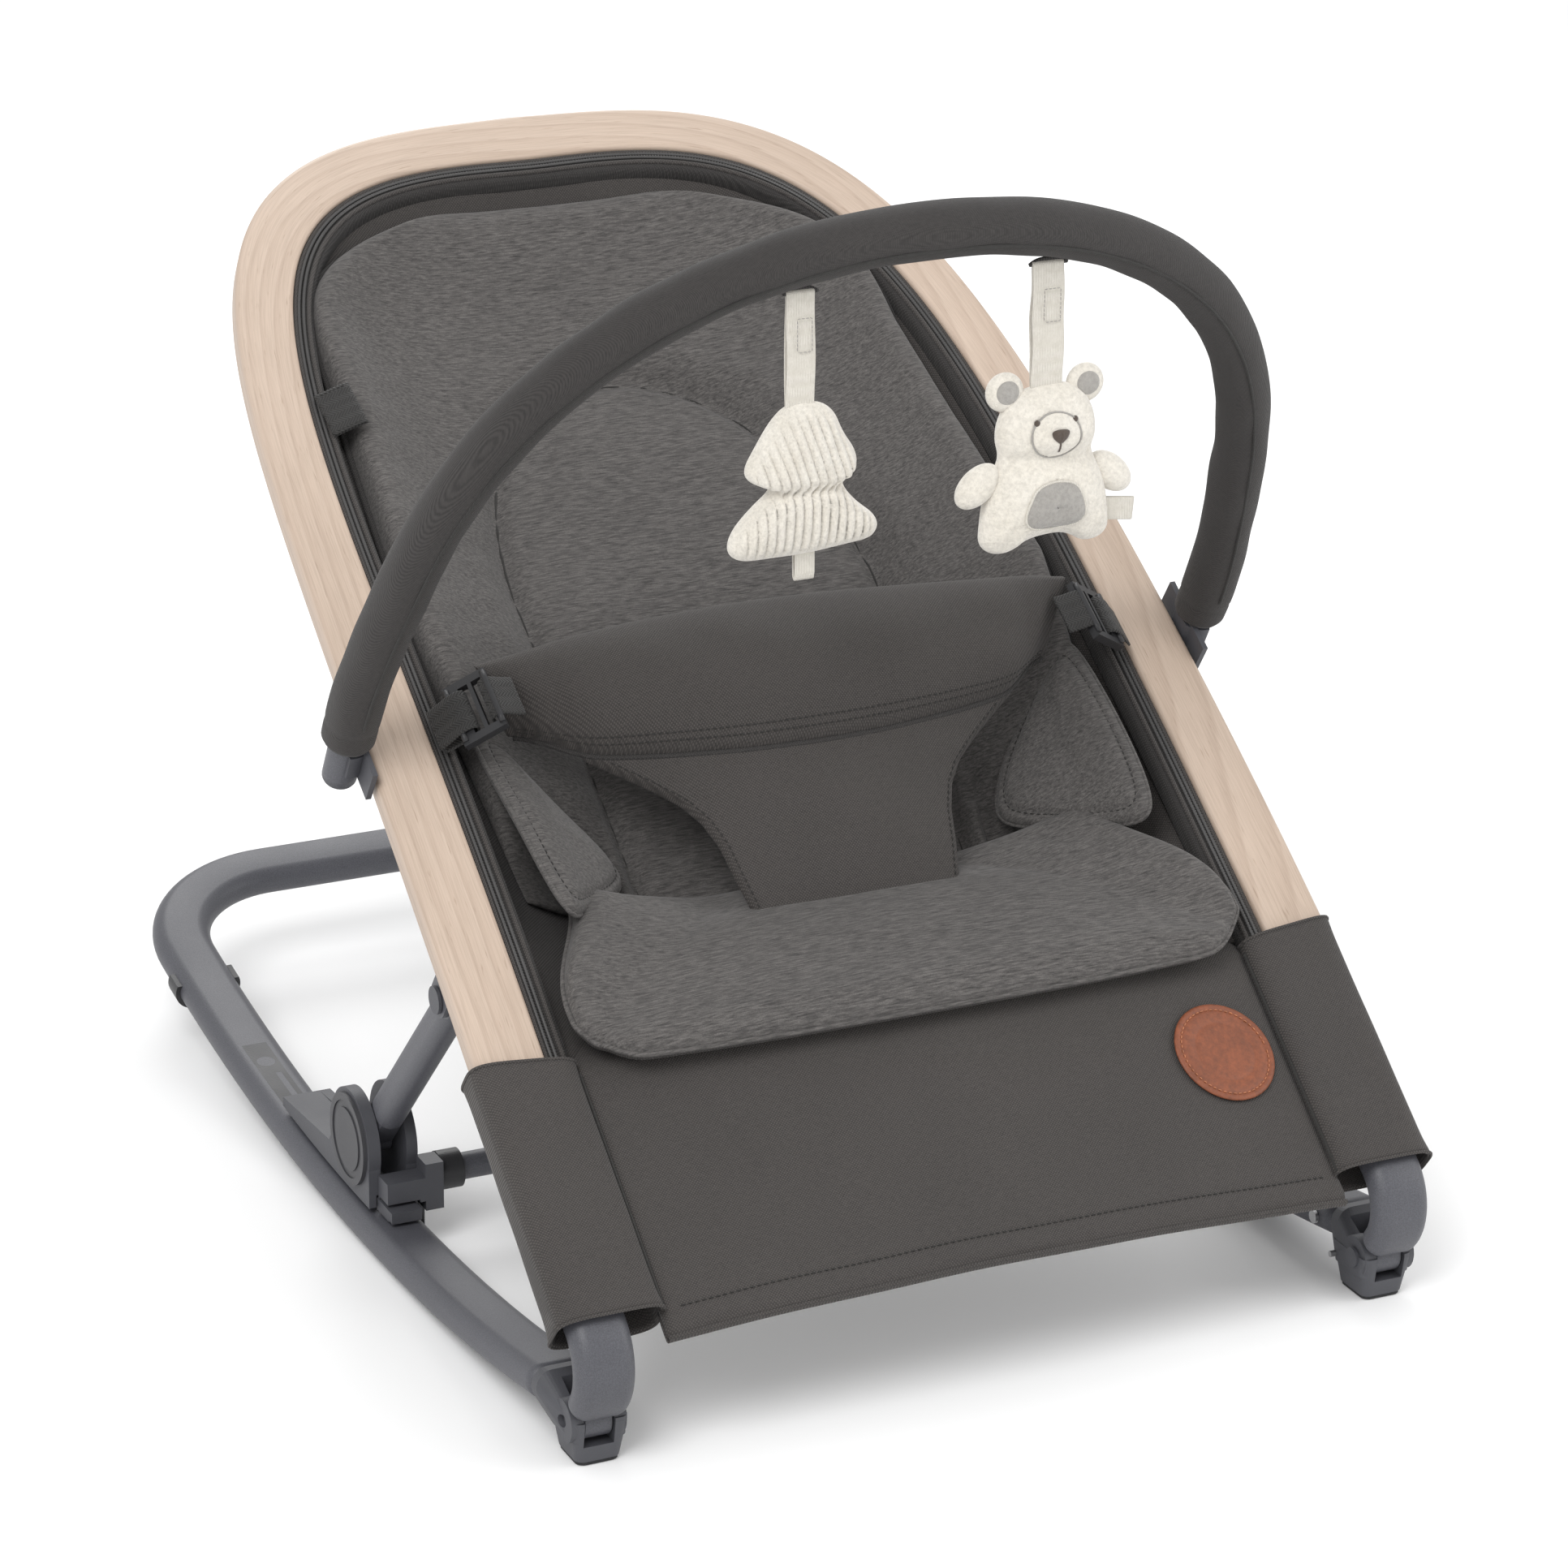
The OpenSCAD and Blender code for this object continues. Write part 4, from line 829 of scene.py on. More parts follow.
# ---------- cover ----------
cols = np.sin(np.linspace(-90, 90, 61) * math.pi / 180)
us = np.concatenate([np.linspace(7, 40, 12)[:-1], np.linspace(40, 500, 78)[:-1], 500 + 38 * np.sin(np.linspace(0, 90, 12) * math.pi / 180)])
U, C = np.meshgrid(us, cols, indexing="ij")
X = C * sling_half(U)
fold = 1.1 * waves(X, U, 120, 5) * (1 - np.abs(C) ** 4) + 1.6 * np.exp(-((U - 108) / 9) ** 2) * waves(X, U, 42, 6)
top = np.stack([X, U, sling_n(U, C) + 0.3 * fold], -1)
under = top - np.array([0, 0, 1.7]) + np.stack([0 * U, 0 * U, 0.8 * np.minimum(fold, 0)], -1)
uv_cover = np.stack([X, U], -1)
cover = slab("seat_cover_looks", top, under, M["twill"], SEAT)
place(cover, "seat", "woven_twill", "seat_cover")


def rail_sheet(name, profile, mat, s_from=-1.0, s_to=1.0, steps=150, thick=1.0):
    """A band that follows the trim's inner edge; profile is (across, depth) points."""
    st = np.linspace(s_from, s_to, steps)
    grid = np.array([[rail_point(s, a, d) for a, d in profile] for s in st])
    low = grid - np.array([0, 0, thick])
    run = np.concatenate([[0], np.cumsum(np.linalg.norm(np.diff(grid[:, 0], axis=0), axis=1))])
    uvs = np.array([[(a, r) for a, _ in profile] for r in run])
    return slab(name, grid, low, mat, SEAT, uvs)


band = rail_sheet("zip_band", [(-16.9, 7.5), (-17.2, 4.6), (-18.2, 3.6), (-21, 3.3), (-24, 3.5), (-26.6, 3.8), (-28.4, 4.9), (-29.4, 7.5), (-30.0, 11.5)],
                  M["lining"])
place(band, "seat", "dark_tape", "zip_tape")
zip_run = [rail_point(s, -20.9, 2.8) for s in np.linspace(-1, 1, 1500)]
zip_path = even(zip_run, 0.75)
beads = 0.72 + 0.50 * (np.arange(len(zip_path)) % 2)
for k, shift in enumerate((-1.15, 1.15)):
    p, t, sd, nm = frames_of(zip_path)
    place(tube(f"zip_coil_{k + 1}", p + sd * shift, beads, M["zip"], SEAT, sides=6), "seat", "dark_tape")
for k, (a, d) in enumerate(((-17.6, 3.4), (-25.4, 3.3))):
    place(tube(f"zip_fold_{k + 1}", even([rail_point(s, a, d) for s in np.linspace(-1, 1, 400)], 4), 1.25, M["twill"], SEAT, sides=8),
          "seat", "dark_tape")


# ---------- back cushion ----------
def back_half(u):
    side = np.interp(u, [100, 180, 240, 300, 335, 400], [150, 160, 165, 160, 157, 152])
    dome = (1 - (np.clip(np.asarray(u, float) - 400, 0, 118.9) / 119) ** 3.2) ** (1 / 2.4)
    return side * dome


def seam_line(count=260):
    """The arched seam of the back cushion, as (x, u) points from one side to the other."""
    pts = []
    for k in range(count + 1):
        t = -1 + 2 * k / count
        if abs(t) > 0.55:
            f = (abs(t) - 0.55) / 0.45
            pts.append((math.copysign(93 - 9 * f, t), 262 - 150 * f))
        else:
            a = (1 - abs(t) / 0.55) * 90
            pts.append((math.copysign(93 * math.cos(math.radians(a)) ** 0.92, t) if t else 0.0,
                        262 + 153 * math.sin(math.radians(a)) ** 0.92))
    return np.array(pts)


ARCH_SEAM = seam_line()


def distance_to(line, x, u):
    flat = np.stack([np.ravel(x), np.ravel(u)], 1)
    best = np.full(len(flat), 1e9)
    for p in line:
        best = np.minimum(best, np.hypot(flat[:, 0] - p[0], flat[:, 1] - p[1]))
    return best.reshape(np.shape(x))


U0, U1 = 106.0, 518.4
k_rows = -np.cos(np.linspace(0, math.pi, 112))
us = (U0 + U1) / 2 + (U1 - U0) / 2 * (0.35 * k_rows + 0.65 * np.linspace(-1, 1, 112))
cs = np.sin(np.linspace(-90, 90, 97) * math.pi / 180) * 0.35 + 0.65 * np.linspace(-1, 1, 97)
U, C = np.meshgrid(us, cs, indexing="ij")
X = C * back_half(U)
far = distance_to(ARCH_SEAM, X, U)
inner_panel = (np.abs(X) < np.interp(U, [106, 262, 300, 340, 380, 405, 415], [84, 93, 90, 79, 57, 27, 0])) & (U < 415)
edge = np.minimum(1 - np.abs(C), 1.0) * back_half(U)
rim = np.minimum(edge, np.minimum(U1 - U, 60))
shoulder = np.sqrt(np.clip(1 - (1 - np.clip(rim / 17, 0, 1)) ** 2, 0, 1))
low_fade = smooth01((U - 100) / 70) + (1 - smooth01((U - 100) / 70)) * (np.abs(X) < 95)
pad = np.where(inner_panel, 11.5 + 3.2 * smooth01(far / 40), 11.5 + 6.0 * smooth01(far / 22))
groove = 5.6 * np.exp(-(far / 3.2) ** 2) + 2.4 * np.exp(-(far / 11) ** 2)
wing = 6.5 * smooth01((np.abs(X) - 95) / 60) * smooth01((U - 110) / 90) * smooth01((470 - U) / 110)
height = (pad + wing - groove) * shoulder * np.clip(low_fade, 0.25, 1)
height = height + 0.7 * waves(X, U, 95, 21) * shoulder + 0.35 * waves(X, U * 1.6, 36, 22) * shoulder
surface = sling_n(U, X / sling_half(U)) + 1.4
top = np.stack([X, U, surface + height], -1)
under = np.stack([X * 0.995, U, surface], -1)
back = slab("back_cushion_looks", top, under, M["melange"], SEAT)
held = np.concatenate([(np.exp(-(far / 5) ** 2) + np.exp(-(rim / 5) ** 2)).ravel().clip(0, 1), np.ones(top.shape[0] * top.shape[1])])
puff(back, 1.6, 5.0, held)
subdivide(back)
place(back, "seat", "melange_jersey", "back_cushion")


def drape_on(grid_top, points, lift):
    """Height of the pad's surface under each (x, u) point, plus lift."""
    flat = grid_top.reshape(-1, 3)
    out = []
    for x, u in points:
        d = (flat[:, 0] - x) ** 2 + (flat[:, 1] - u) ** 2
        near = np.argsort(d)[:6]
        w = 1 / (d[near] + 0.5)
        out.append((x, u, float((flat[near, 2] * w).sum() / w.sum()) + lift))
    return np.array(out)


line = drape_on(top, ARCH_SEAM[::2], 0.2)
place(tube("back_seam", even(line, 2.0), 0.55, M["thread"], SEAT, sides=8), "seat", "melange_jersey")
climb = 190 + (518.4 - 190) * np.sin(np.linspace(0, math.pi / 2, 150))
piping = [(-w, u) for w, u in zip(back_half(climb), climb)] + [(w, u) for w, u in zip(back_half(climb)[::-1], climb[::-1])]
pipe_path = [(x * 1.004, u, float(sling_n(u, x / sling_half(u))) + 3.4) for x, u in piping]
place(tube("back_piping", even(pipe_path, 3.0), 1.5, M["lining"], SEAT, sides=10), "seat", "melange_jersey")


def pillow(name, outline, height, depth, mat, matrix=None, normal=(0, -1, 0), rings=16, power=2.4, relief=None):
    """A stuffed shape: a closed outline in space that swells by height on one side and depth on the other."""
    outline = np.asarray(outline, float)
    normal = np.asarray(normal, float) / np.linalg.norm(normal)
    centre, n = outline.mean(0), len(outline)
    ts = np.sin(np.linspace(0, math.pi / 2, rings + 1))[1:]
    verts, faces = [], []
    for sign, swell in ((1, height), (-1, depth)):
        start = len(verts)
        verts.append(centre + sign * normal * swell)
        rows = ts if sign > 0 else ts[:-1]
        for t in rows:
            base = centre + (outline - centre) * t
            lift = swell * math.sqrt(max(0.0, 1 - t ** power))
            extra = relief(base, t) if relief is not None and sign > 0 else 0.0
            verts.extend(base + normal * (sign * lift + np.broadcast_to(extra, n)[:, None] * sign * min(1.0, (1 - t) * 6)))
        for k in range(n):
            tri = (start, start + 1 + k, start + 1 + (k + 1) % n)
            faces.append(tri if sign > 0 else tri[::-1])
        for i in range(len(rows) - 1):
            a = start + 1 + i * n
            for k in range(n):
                quad = (a + k, a + (k + 1) % n, a + n + (k + 1) % n, a + n + k)
                faces.append(quad if sign > 0 else quad[::-1])
        if sign > 0:
            rim = start + 1 + (len(rows) - 1) * n
        else:
            last = start + 1 + (len(rows) - 1) * n
            for k in range(n):
                faces.append((last + k, rim + k, rim + (k + 1) % n, last + (k + 1) % n))
    return mesh_object(name, verts, faces, mat, matrix)


def rounded(points, count=160, passes=4):
    """A smooth closed outline through the corners given, with evenly spaced points."""
    pts = np.asarray(points, float)
    for _ in range(passes):
        nxt = np.roll(pts, -1, 0)
        pts = np.stack([pts * 0.75 + nxt * 0.25, pts * 0.25 + nxt * 0.75], 1).reshape(-1, pts.shape[1])
    loop = np.vstack([pts, pts[:1]])
    run = np.concatenate([[0], np.cumsum(np.linalg.norm(np.diff(loop, axis=0), axis=1))])
    d = np.linspace(0, run[-1], count, endpoint=False)
    return np.stack([np.interp(d, run, loop[:, k]) for k in range(pts.shape[1])], 1)


def two_tone(obj, mat, count):
    """The faces of a slab's underside and rim take a second material."""
    obj.data.materials.append(mat)
    for poly in obj.data.polygons:
        if any(v >= count for v in poly.vertices):
            poly.material_index = 1


# ---------- seat cushion ----------
DROP = SEAT @ Matrix.Translation((0, -0.003, 0)) @ Matrix.Rotation(math.radians(6.6), 4, "X")
PANEL_R, PANEL_EDGE, PANEL_RISE, PANEL_HALF, PANEL_LEN = 1180.0, -5.0, 12.0, 169.5, 132.0
PAD_U0, PAD_U1 = -15.0, 106.0


def pad_low(u, x):
    on_sling = sling_n(np.maximum(u, 7.0), np.clip(x / sling_half(u), -1, 1)) + 4.5
    on_panel = PANEL_EDGE + PANEL_RISE + 1.5 - x * x / (2 * PANEL_R) - 0.65 * np.maximum(0, u)
    return np.maximum(on_sling, on_panel)


def pad_half(u):
    return 168 - 36 * smooth01((u - 20) / 90)


rows_t = 0.5 - 0.5 * np.cos(np.linspace(0, math.pi, 64))
cs = np.sin(np.linspace(-90, 90, 111) * math.pi / 180) * 0.5 + 0.5 * np.linspace(-1, 1, 111)
T, C = np.meshgrid(rows_t, cs, indexing="ij")
front_line = PAD_U0 + 9 * np.abs(C) ** 2 + 24 * smooth01((np.abs(C) - 0.82) / 0.36) ** 1.3 * 2
U = front_line + (PAD_U1 - front_line) * T
X = C * pad_half(U)
side_gap, front_gap, back_gap = (1 - np.abs(C)) * 160, (U - front_line), (PAD_U1 - U)
rim = np.minimum(side_gap, np.minimum(front_gap, back_gap * 1.4))
roll = np.sqrt(np.clip(1 - (1 - np.clip(rim / 15, 0, 1)) ** 2, 0, 1))
low = pad_low(U, X) + 4.5 * np.abs(C) ** 4
thick = 7.5 + 9 * smooth01((U + 5) / 60) + 4 * smooth01(rim / 60)
press = 2.4 * np.exp(-((np.abs(X) - 62) / 16) ** 2) * smooth01((U - 45) / 30)
top = np.stack([X, U, low + 8.5 + thick * roll - press + 0.55 * waves(X, U, 80, 31) * roll], -1)
under = np.stack([X * 0.985, U + 2.5 * (1 - T), low], -1)
seat_pad = slab("seat_cushion_looks", top, under, M["melange"], SEAT)
two_tone(seat_pad, M["twill"], top.shape[0] * top.shape[1])
held = np.concatenate([np.exp(-(rim / 6) ** 2).ravel().clip(0, 1), np.ones(top.shape[0] * top.shape[1])])
puff(seat_pad, 1.2, 4.0, held)
subdivide(seat_pad)
place(seat_pad, "seat", "melange_jersey", "seat_cushion")
rim_pts = np.vstack([top[::-1, 0], top[0, 1:], top[1:, -1]])
place(tube("seat_piping", even(rim_pts + np.array([0, -0.4, 0.0]), 2.5), 1.25, M["melange"], SEAT, sides=10), "seat", "melange_jersey")

# ---------- side bolsters ----------
for side, word in ((-1, "left"), (1, "right")):
    corners = [(158, 186, 4), (156, 130, 12), (153, 84, 13), (147, 72, 8), (133, 84, -8), (106, 104, -28), (97, 118, -35), (112, 146, -30), (142, 180, -10), (151, 188, 0)]
    line3 = rounded(corners, 150, 3)
    face_n = np.array([-0.68, -0.02, 0.73])
    crease = lambda base, t: -1.5 * math.exp(-((t - 0.86) / 0.035) ** 2) + 0.5 * waves(base[:, 0], base[:, 1], 50, 61)
    body = pillow(f"bolster_{word}_looks", line3, 8.5, 5.0, M["melange"], SEAT, face_n, 22, 3.0, crease)
    if side < 0:
        body.data.transform(Matrix.Scale(-1, 4, (1, 0, 0)))
        body.data.flip_normals()
    subdivide(body)
    place(body, "seat", "melange_jersey", f"bolster_{word}")
    centre = line3.mean(0)
    inset = centre + (line3 - centre) * 0.86
    inset = inset + face_n / np.linalg.norm(face_n) * (8.5 * math.sqrt(1 - 0.86 ** 3.0) - 1.1)
    inset = np.vstack([inset, inset[:1]]) * np.array([side, 1, 1])
    place(stitches(f"bolster_stitch_{word}", inset, np.tile(face_n * np.array([side, 1, 1]), (len(inset), 1)), M["thread"], SEAT, 3.4, 2.4, 0.3),
          "seat", "melange_jersey")
    hem = np.vstack([line3, line3[:1]]) * np.array([side, 1, 1])
    place(tube(f"bolster_piping_{word}", hem[:-1], 1.1, M["melange"], SEAT, sides=8, up=tuple(face_n * np.array([side, 1, 1])), loop=True),
          "seat", "melange_jersey")

# ---------- front panel and leg sleeves ----------
xs = PANEL_HALF * (0.85 * np.linspace(-1, 1, 121) + 0.15 * np.sin(np.linspace(-90, 90, 121) * math.pi / 180))
ds = np.linspace(-24, PANEL_LEN - 1, 80)
D, X = np.meshgrid(ds, xs, indexing="ij")
sag = -1.6 * np.sin(np.maximum(D, 0) / PANEL_LEN * math.pi) * (1 - (X / PANEL_HALF) ** 2) - 13 * smooth01(-D / 26)
ripple = 0.55 * waves(X, D, 110, 41) * (1 - np.abs(X / PANEL_HALF) ** 5) + 0.8 * smooth01((D - 70) / 60) * waves(X, D * 0.3, 85, 42)
seam_dip = -1.8 * np.exp(-((PANEL_HALF - np.abs(X)) / 2.2) ** 2)
hem_dip = -0.55 * np.exp(-((D - (PANEL_LEN - 13)) / 1.3) ** 2)
face = PANEL_EDGE + PANEL_RISE - X ** 2 / (2 * PANEL_R) + sag + ripple + seam_dip + hem_dip
low_edge = 3.0 * np.exp(-((PANEL_LEN - 1 - D) / 2.2) ** 2)
top = np.stack([X, -D, face - low_edge], -1)
under = np.stack([X, -D, face - 2.0 - low_edge * 0.2], -1)
panel = slab("front_panel_looks", top, under, M["twill"], DROP)
place(panel, "seat", "woven_twill", "front_panel")
hem_d = np.array([PANEL_LEN - 1, PANEL_LEN + 0.4, PANEL_LEN + 0.6, PANEL_LEN - 0.4, PANEL_LEN - 4, PANEL_LEN - 9, PANEL_LEN - 14])
hem_n = np.array([-3.0, -3.6, -5.4, -6.6, -6.9, -6.7, -6.2])
edge_n = PANEL_EDGE + PANEL_RISE - xs ** 2 / (2 * PANEL_R) + 0.8 * waves(xs, xs * 0 + (PANEL_LEN - 1) * 0.3, 85, 42) * 1.0
turn = np.stack([np.stack([xs, np.full_like(xs, -d), edge_n + n], -1) for d, n in zip(hem_d, hem_n)], 0)
turned = slab("front_panel_hem", turn, turn + np.array([0, 0.2, 1.4]), M["twill"], DROP)
place(turned, "seat", "woven_twill")
hem_line = np.stack([xs[3:-3], np.full(len(xs) - 6, -(PANEL_LEN - 13.0)), face[np.argmin(np.abs(ds - (PANEL_LEN - 13)))][3:-3] + 0.35], -1)
up_n = np.tile([0, 0, 1.0], (len(hem_line), 1))
hem_stitch = stitches("panel_hem_stitch", hem_line, up_n, M["thread"], DROP, 3.2, 2.3, 0.3)
place(hem_stitch, "seat", "woven_twill")

BOOT_X0, BOOT_X1 = 168.2, 218.2
for side, word in ((-1, "left"), (1, "right")):
    q = np.linspace(0, 2 * math.pi, 96, endpoint=False)
    unit = np.stack([np.sign(np.cos(q)) * np.abs(np.cos(q)) ** 0.46, np.sign(np.sin(q)) * np.abs(np.sin(q)) ** 0.52], 1)
    outer_rows, inner_rows = [], []
    for k, f in enumerate(np.linspace(0, 1, 60)):
        d = -4.5 + 123 * f
        half_x, half_n = (BOOT_X1 - BOOT_X0) / 2 - 0.6 + 0.6 * f, 13.8 - 0.4 * f
        flare = 0.8 * math.exp(-((1 - f) / 0.05) ** 2) + 0.5 * math.exp(-(f / 0.05) ** 2)
        px = (BOOT_X0 + BOOT_X1) / 2 + unit[:, 0] * (half_x + flare)
        pn = -10.9 - 0.9 * f + unit[:, 1] * (half_n + flare * 0.5)
        rough_fold = 0.55 * waves(q * 26, np.full_like(q, d), 60, 51 + side) + 0.5 * waves(q * 14, np.full_like(q, d * 0.5), 34, 55 + side)
        fade = 0.4 + 0.6 * math.sin(math.pi * min(1, max(0, f)))
        pn = pn + rough_fold * fade * unit[:, 1]
        tilt = 5.0 * (px - BOOT_X0) / (BOOT_X1 - BOOT_X0) * (1 - f)
        row = np.stack([side * px, -(d - tilt), pn], 1)
        outer_rows.append(row)
        mid = row.mean(0)
        inner_rows.append(mid + (row - mid) * np.array([0.947, 1, 0.90]))
    boot = loft(f"boot_{word}_looks", np.concatenate([outer_rows, inner_rows[::-1]]), M["twill"], DROP, loop=True)
    place(boot, "seat", "woven_twill", f"boot_{word}")
    parts = []
    for tag, index, inset in (("top", 0, 5), ("low", 59, 54)):
        ring = np.array(outer_rows[index])
        parts.append(tube(f"boot_{tag}_fold_{word}", ring * np.array([1, 1, 1]), 0.75, M["twill"], DROP, sides=8, up=(0, 1, 0.02), loop=True))
        place(parts[-1], "seat", "woven_twill")
    seam = np.array([[side * (BOOT_X0 + 0.3), -d, PANEL_EDGE + 1.0 + 3.4 - 3 * math.cos(0)] for d in np.linspace(1, PANEL_LEN - 14, 50)])
    parts.append(tube(f"boot_seam_{word}", seam, 0.7, M["thread"], DROP, sides=8))
    place(parts[-1], "seat", "woven_twill")

# ---------- leather patch and side tag ----------
PATCH_X, PATCH_U, PATCH_R = 136.0, -53.0, 25.6
lean = math.asin(PATCH_X / PANEL_R)
PATCH = DROP @ Matrix.Translation((0, 0, (PANEL_EDGE + PANEL_RISE - PANEL_R) / 1000)) @ Matrix.Rotation(lean, 4, "Y") \
    @ Matrix.Translation((0, (PATCH_U + 3) / 1000, (PANEL_R + 0.9) / 1000))
q = np.linspace(0, 2 * math.pi, 120, endpoint=False)
disc_rings = []
for r, z in ((0.05, 0.95), (12, 1.0), (14.6, 0.98), (15.2, 0.8), (15.8, 0.98), (20.6, 1.0), (21.8, 0.86), (22.3, 0.55), (22.8, 0.86), (24.2, 0.98),
             (25.2, 0.75), (25.6, 0.2), (25.4, -0.4), (20, -0.5), (0.05, -0.5)):
    disc_rings.append(np.stack([r * np.cos(q), r * np.sin(q), np.full_like(q, z)], 1))
patch = loft("leather_patch_looks", disc_rings, M["leather"], PATCH)
place(patch, "seat", "tan_leather", "leather_patch")
circle = np.stack([22.3 * np.cos(q), 22.3 * np.sin(q), np.full_like(q, 0.75)], 1)
place(stitches("patch_stitch", np.vstack([circle, circle[:1]]), np.tile([0, 0, 1.0], (121, 1)), M["leather_thread"], PATCH, 2.6, 1.9, 0.32),
      "seat", "tan_leather")

TAG = SEAT @ Matrix.Translation((-0.158, 0.380, (bulge(380.0) + 3.0) / 1000)) @ Matrix.Rotation(math.radians(4), 4, "Z") @ Matrix.Rotation(math.radians(-24), 4, "Y")
tag_path = [(9, 0, -1.6), (7, 0, -0.9), (2, 0, -0.5), (-4, 0, -0.45), (-8, 0, -0.4), (-9.0, 0, 0.1), (-8, 0, 0.75), (-4, 0, 0.8), (2, 0, 0.7), (7, 0, 0.3), (9, 0, -0.4)]
tag = ribbon("side_tag_looks", even(tag_path, 1.2), (0, 1, 0), 26, 0.7, M["tape"], TAG)
place(tag, "seat", "dark_tape", "side_tag")
tag_edges = [stitches(f"tag_edge_{k + 1}", [(-7, y, 1.25), (7, y, 0.75)], [(0, 0, 1), (0, 0, 1)], M["thread"], TAG, 2.2, 1.6, 0.22) for k, y in enumerate((-11.6, 11.6))]
for piece in tag_edges:
    place(piece, "seat", "dark_tape")

# ---------- waist band and crotch panel ----------
LOW_X = [-153, -136, -109, -73, -36, 0, 36, 73, 109, 136, 153]
LOW_U = [182, 174, 157, 147, 140.5, 138, 140.5, 147, 157, 174, 182]
LOW_N = [3, 5, 10, 16, 20, 22, 20, 16, 10, 5, 3]
TOP_U = [204, 206, 210, 212, 212.5, 212, 211, 209, 207, 206, 204]
TOP_N = [33, 35, 38, 41, 43, 44, 43.5, 42.5, 41, 39, 35]


def smooth_line(xs, values, at, width=11.0):
    fine = np.linspace(xs[0] - 40, xs[-1] + 40, 800)
    raw = np.interp(fine, xs, values)
    out = []
    for x in np.ravel(at):
        w = np.exp(-((fine - x) / width) ** 2)
        out.append(float((raw * w).sum() / w.sum()))
    return np.array(out).reshape(np.shape(at))


a_cols = np.linspace(-1, 1, 125)
band_x = 153 * np.sin(a_cols * math.pi / 2 * 0.9) / math.sin(math.pi / 2 * 0.9)
lu, ln = smooth_line(LOW_X, LOW_U, band_x), smooth_line(LOW_X, LOW_N, band_x)
tu, tn = smooth_line(LOW_X, TOP_U, band_x), smooth_line(LOW_X, TOP_N, band_x)
b_rows = np.linspace(0, 1, 44)
B, BX = np.meshgrid(b_rows, band_x, indexing="ij")
belly = 15.0 * np.sin(math.pi * B ** 0.86) ** 0.75 * (0.30 + 0.70 * smooth01((153 - np.abs(BX)) / 26)) * smooth01((155 - np.abs(BX)) / 6)
lip = 4.0 * B ** 6
span_u, span_n = tu - lu, tn - ln
length = np.hypot(span_u, span_n)
nu, nn = -span_n / length, span_u / length
crumple = (0.9 * waves(BX, B * 70, 90, 71) + 0.7 * waves(BX * 0.6, B * 70, 38, 72)) * np.sin(math.pi * B) + 0.4 * waves(BX, B * 0, 22, 73) * np.exp(-(B / 0.12) ** 2)
crease_end = -3.2 * np.exp(-((np.abs(BX) - 128) / 10) ** 2) * np.sin(math.pi * B)
swell_n = belly + crumple + crease_end
roll_u, roll_n = lu + span_u * B + nu * swell_n, ln + span_n * B + nn * swell_n
oblique = 1 - 0.09 * (1 - B) * smooth01((np.abs(BX) - 95) / 55)
skin = np.stack([BX * oblique, roll_u - lip * 0.2, roll_n - lip * 0.9], -1)
body_t = 5.5 * np.sin(math.pi * np.clip(B, 0.02, 0.98)) ** 0.5 + 1.4
inner_skin = np.stack([BX * oblique, roll_u - nu * body_t, roll_n - lip * 0.9 - nn * body_t], -1)
waist = slab("waist_pad_looks", skin, inner_skin, M["twill"], SEAT)
subdivide(waist)
place(waist, "seat", "woven_twill", "waist_pad")
low_line = np.stack([band_x * oblique[0], lu, ln], -1)
pipe_line = low_line + np.array([0, -0.6, 0.2])
place(tube("waist_piping", even(pipe_line[3:-3], 2.0), 1.35, M["lining"], SEAT, sides=10), "seat", "woven_twill")
row = skin[3][4:-4] + np.array([0, 0, 0.25])
side_up = np.stack([np.zeros(len(row)), nu[4:-4] * 0.8, nn[4:-4]], -1)
place(stitches("waist_stitch_1", row, side_up, M["thread"], SEAT, 3.2, 2.3, 0.3), "seat", "woven_twill")
row = skin[5][4:-4] + np.array([0, 0, 0.25])
place(stitches("waist_stitch_2", row, side_up, M["thread"], SEAT, 3.2, 2.3, 0.3), "seat", "woven_twill")

b_rows = np.linspace(0, 1, 60)
c_cols = np.sin(np.linspace(-90, 90, 71) * math.pi / 180) * 0.4 + 0.6 * np.linspace(-1, 1, 71)
B, C = np.meshgrid(b_rows, c_cols, indexing="ij")
side_u = 158 - 102 * B
half_w = np.interp(side_u, [56, 60, 88, 104, 117, 128, 139, 148, 158], [50, 50.5, 57, 60, 65, 73, 86, 98, 112])
start_u = smooth_line(LOW_X, LOW_U, C * 112) - 0.5
start_n = smooth_line(LOW_X, LOW_N, C * 112) - 1.5
mix_b = B ** 0.92
CU = start_u * (1 - B) + 56 * B
CN = start_n * (1 - mix_b) + (-17.5) * mix_b + 3.5 * np.sin(math.pi * B) + 1.8 * (1 - C ** 2) * np.sin(math.pi * B)
CN = CN + 0.6 * waves(C * half_w, CU, 70, 81) * np.sin(math.pi * B) * (1 - np.abs(C) ** 4)
edge_gap = (1 - np.abs(C)) * half_w
edge_round = np.sqrt(np.clip(1 - (1 - np.clip(edge_gap / 4.5, 0, 1)) ** 2, 0, 1))
top = np.stack([C * half_w, CU, CN + 2.6 * edge_round], -1)
under = np.stack([C * half_w, CU, CN - 2.2 * edge_round - 0.4], -1)
crotch = slab("crotch_pad_looks", top, under, M["twill"], SEAT)
subdivide(crotch)
place(crotch, "seat", "woven_twill", "crotch_pad")
for k, c_edge in enumerate((3, -4)):
    line3 = top[2:-3, c_edge]
    place(stitches(f"crotch_stitch_{k + 1}", line3 + np.array([0, 0, 0.2]), np.tile([0, 0, 1.0], (len(line3), 1)), M["thread"], SEAT, 3.4, 2.4, 0.28),
          "seat", "woven_twill")

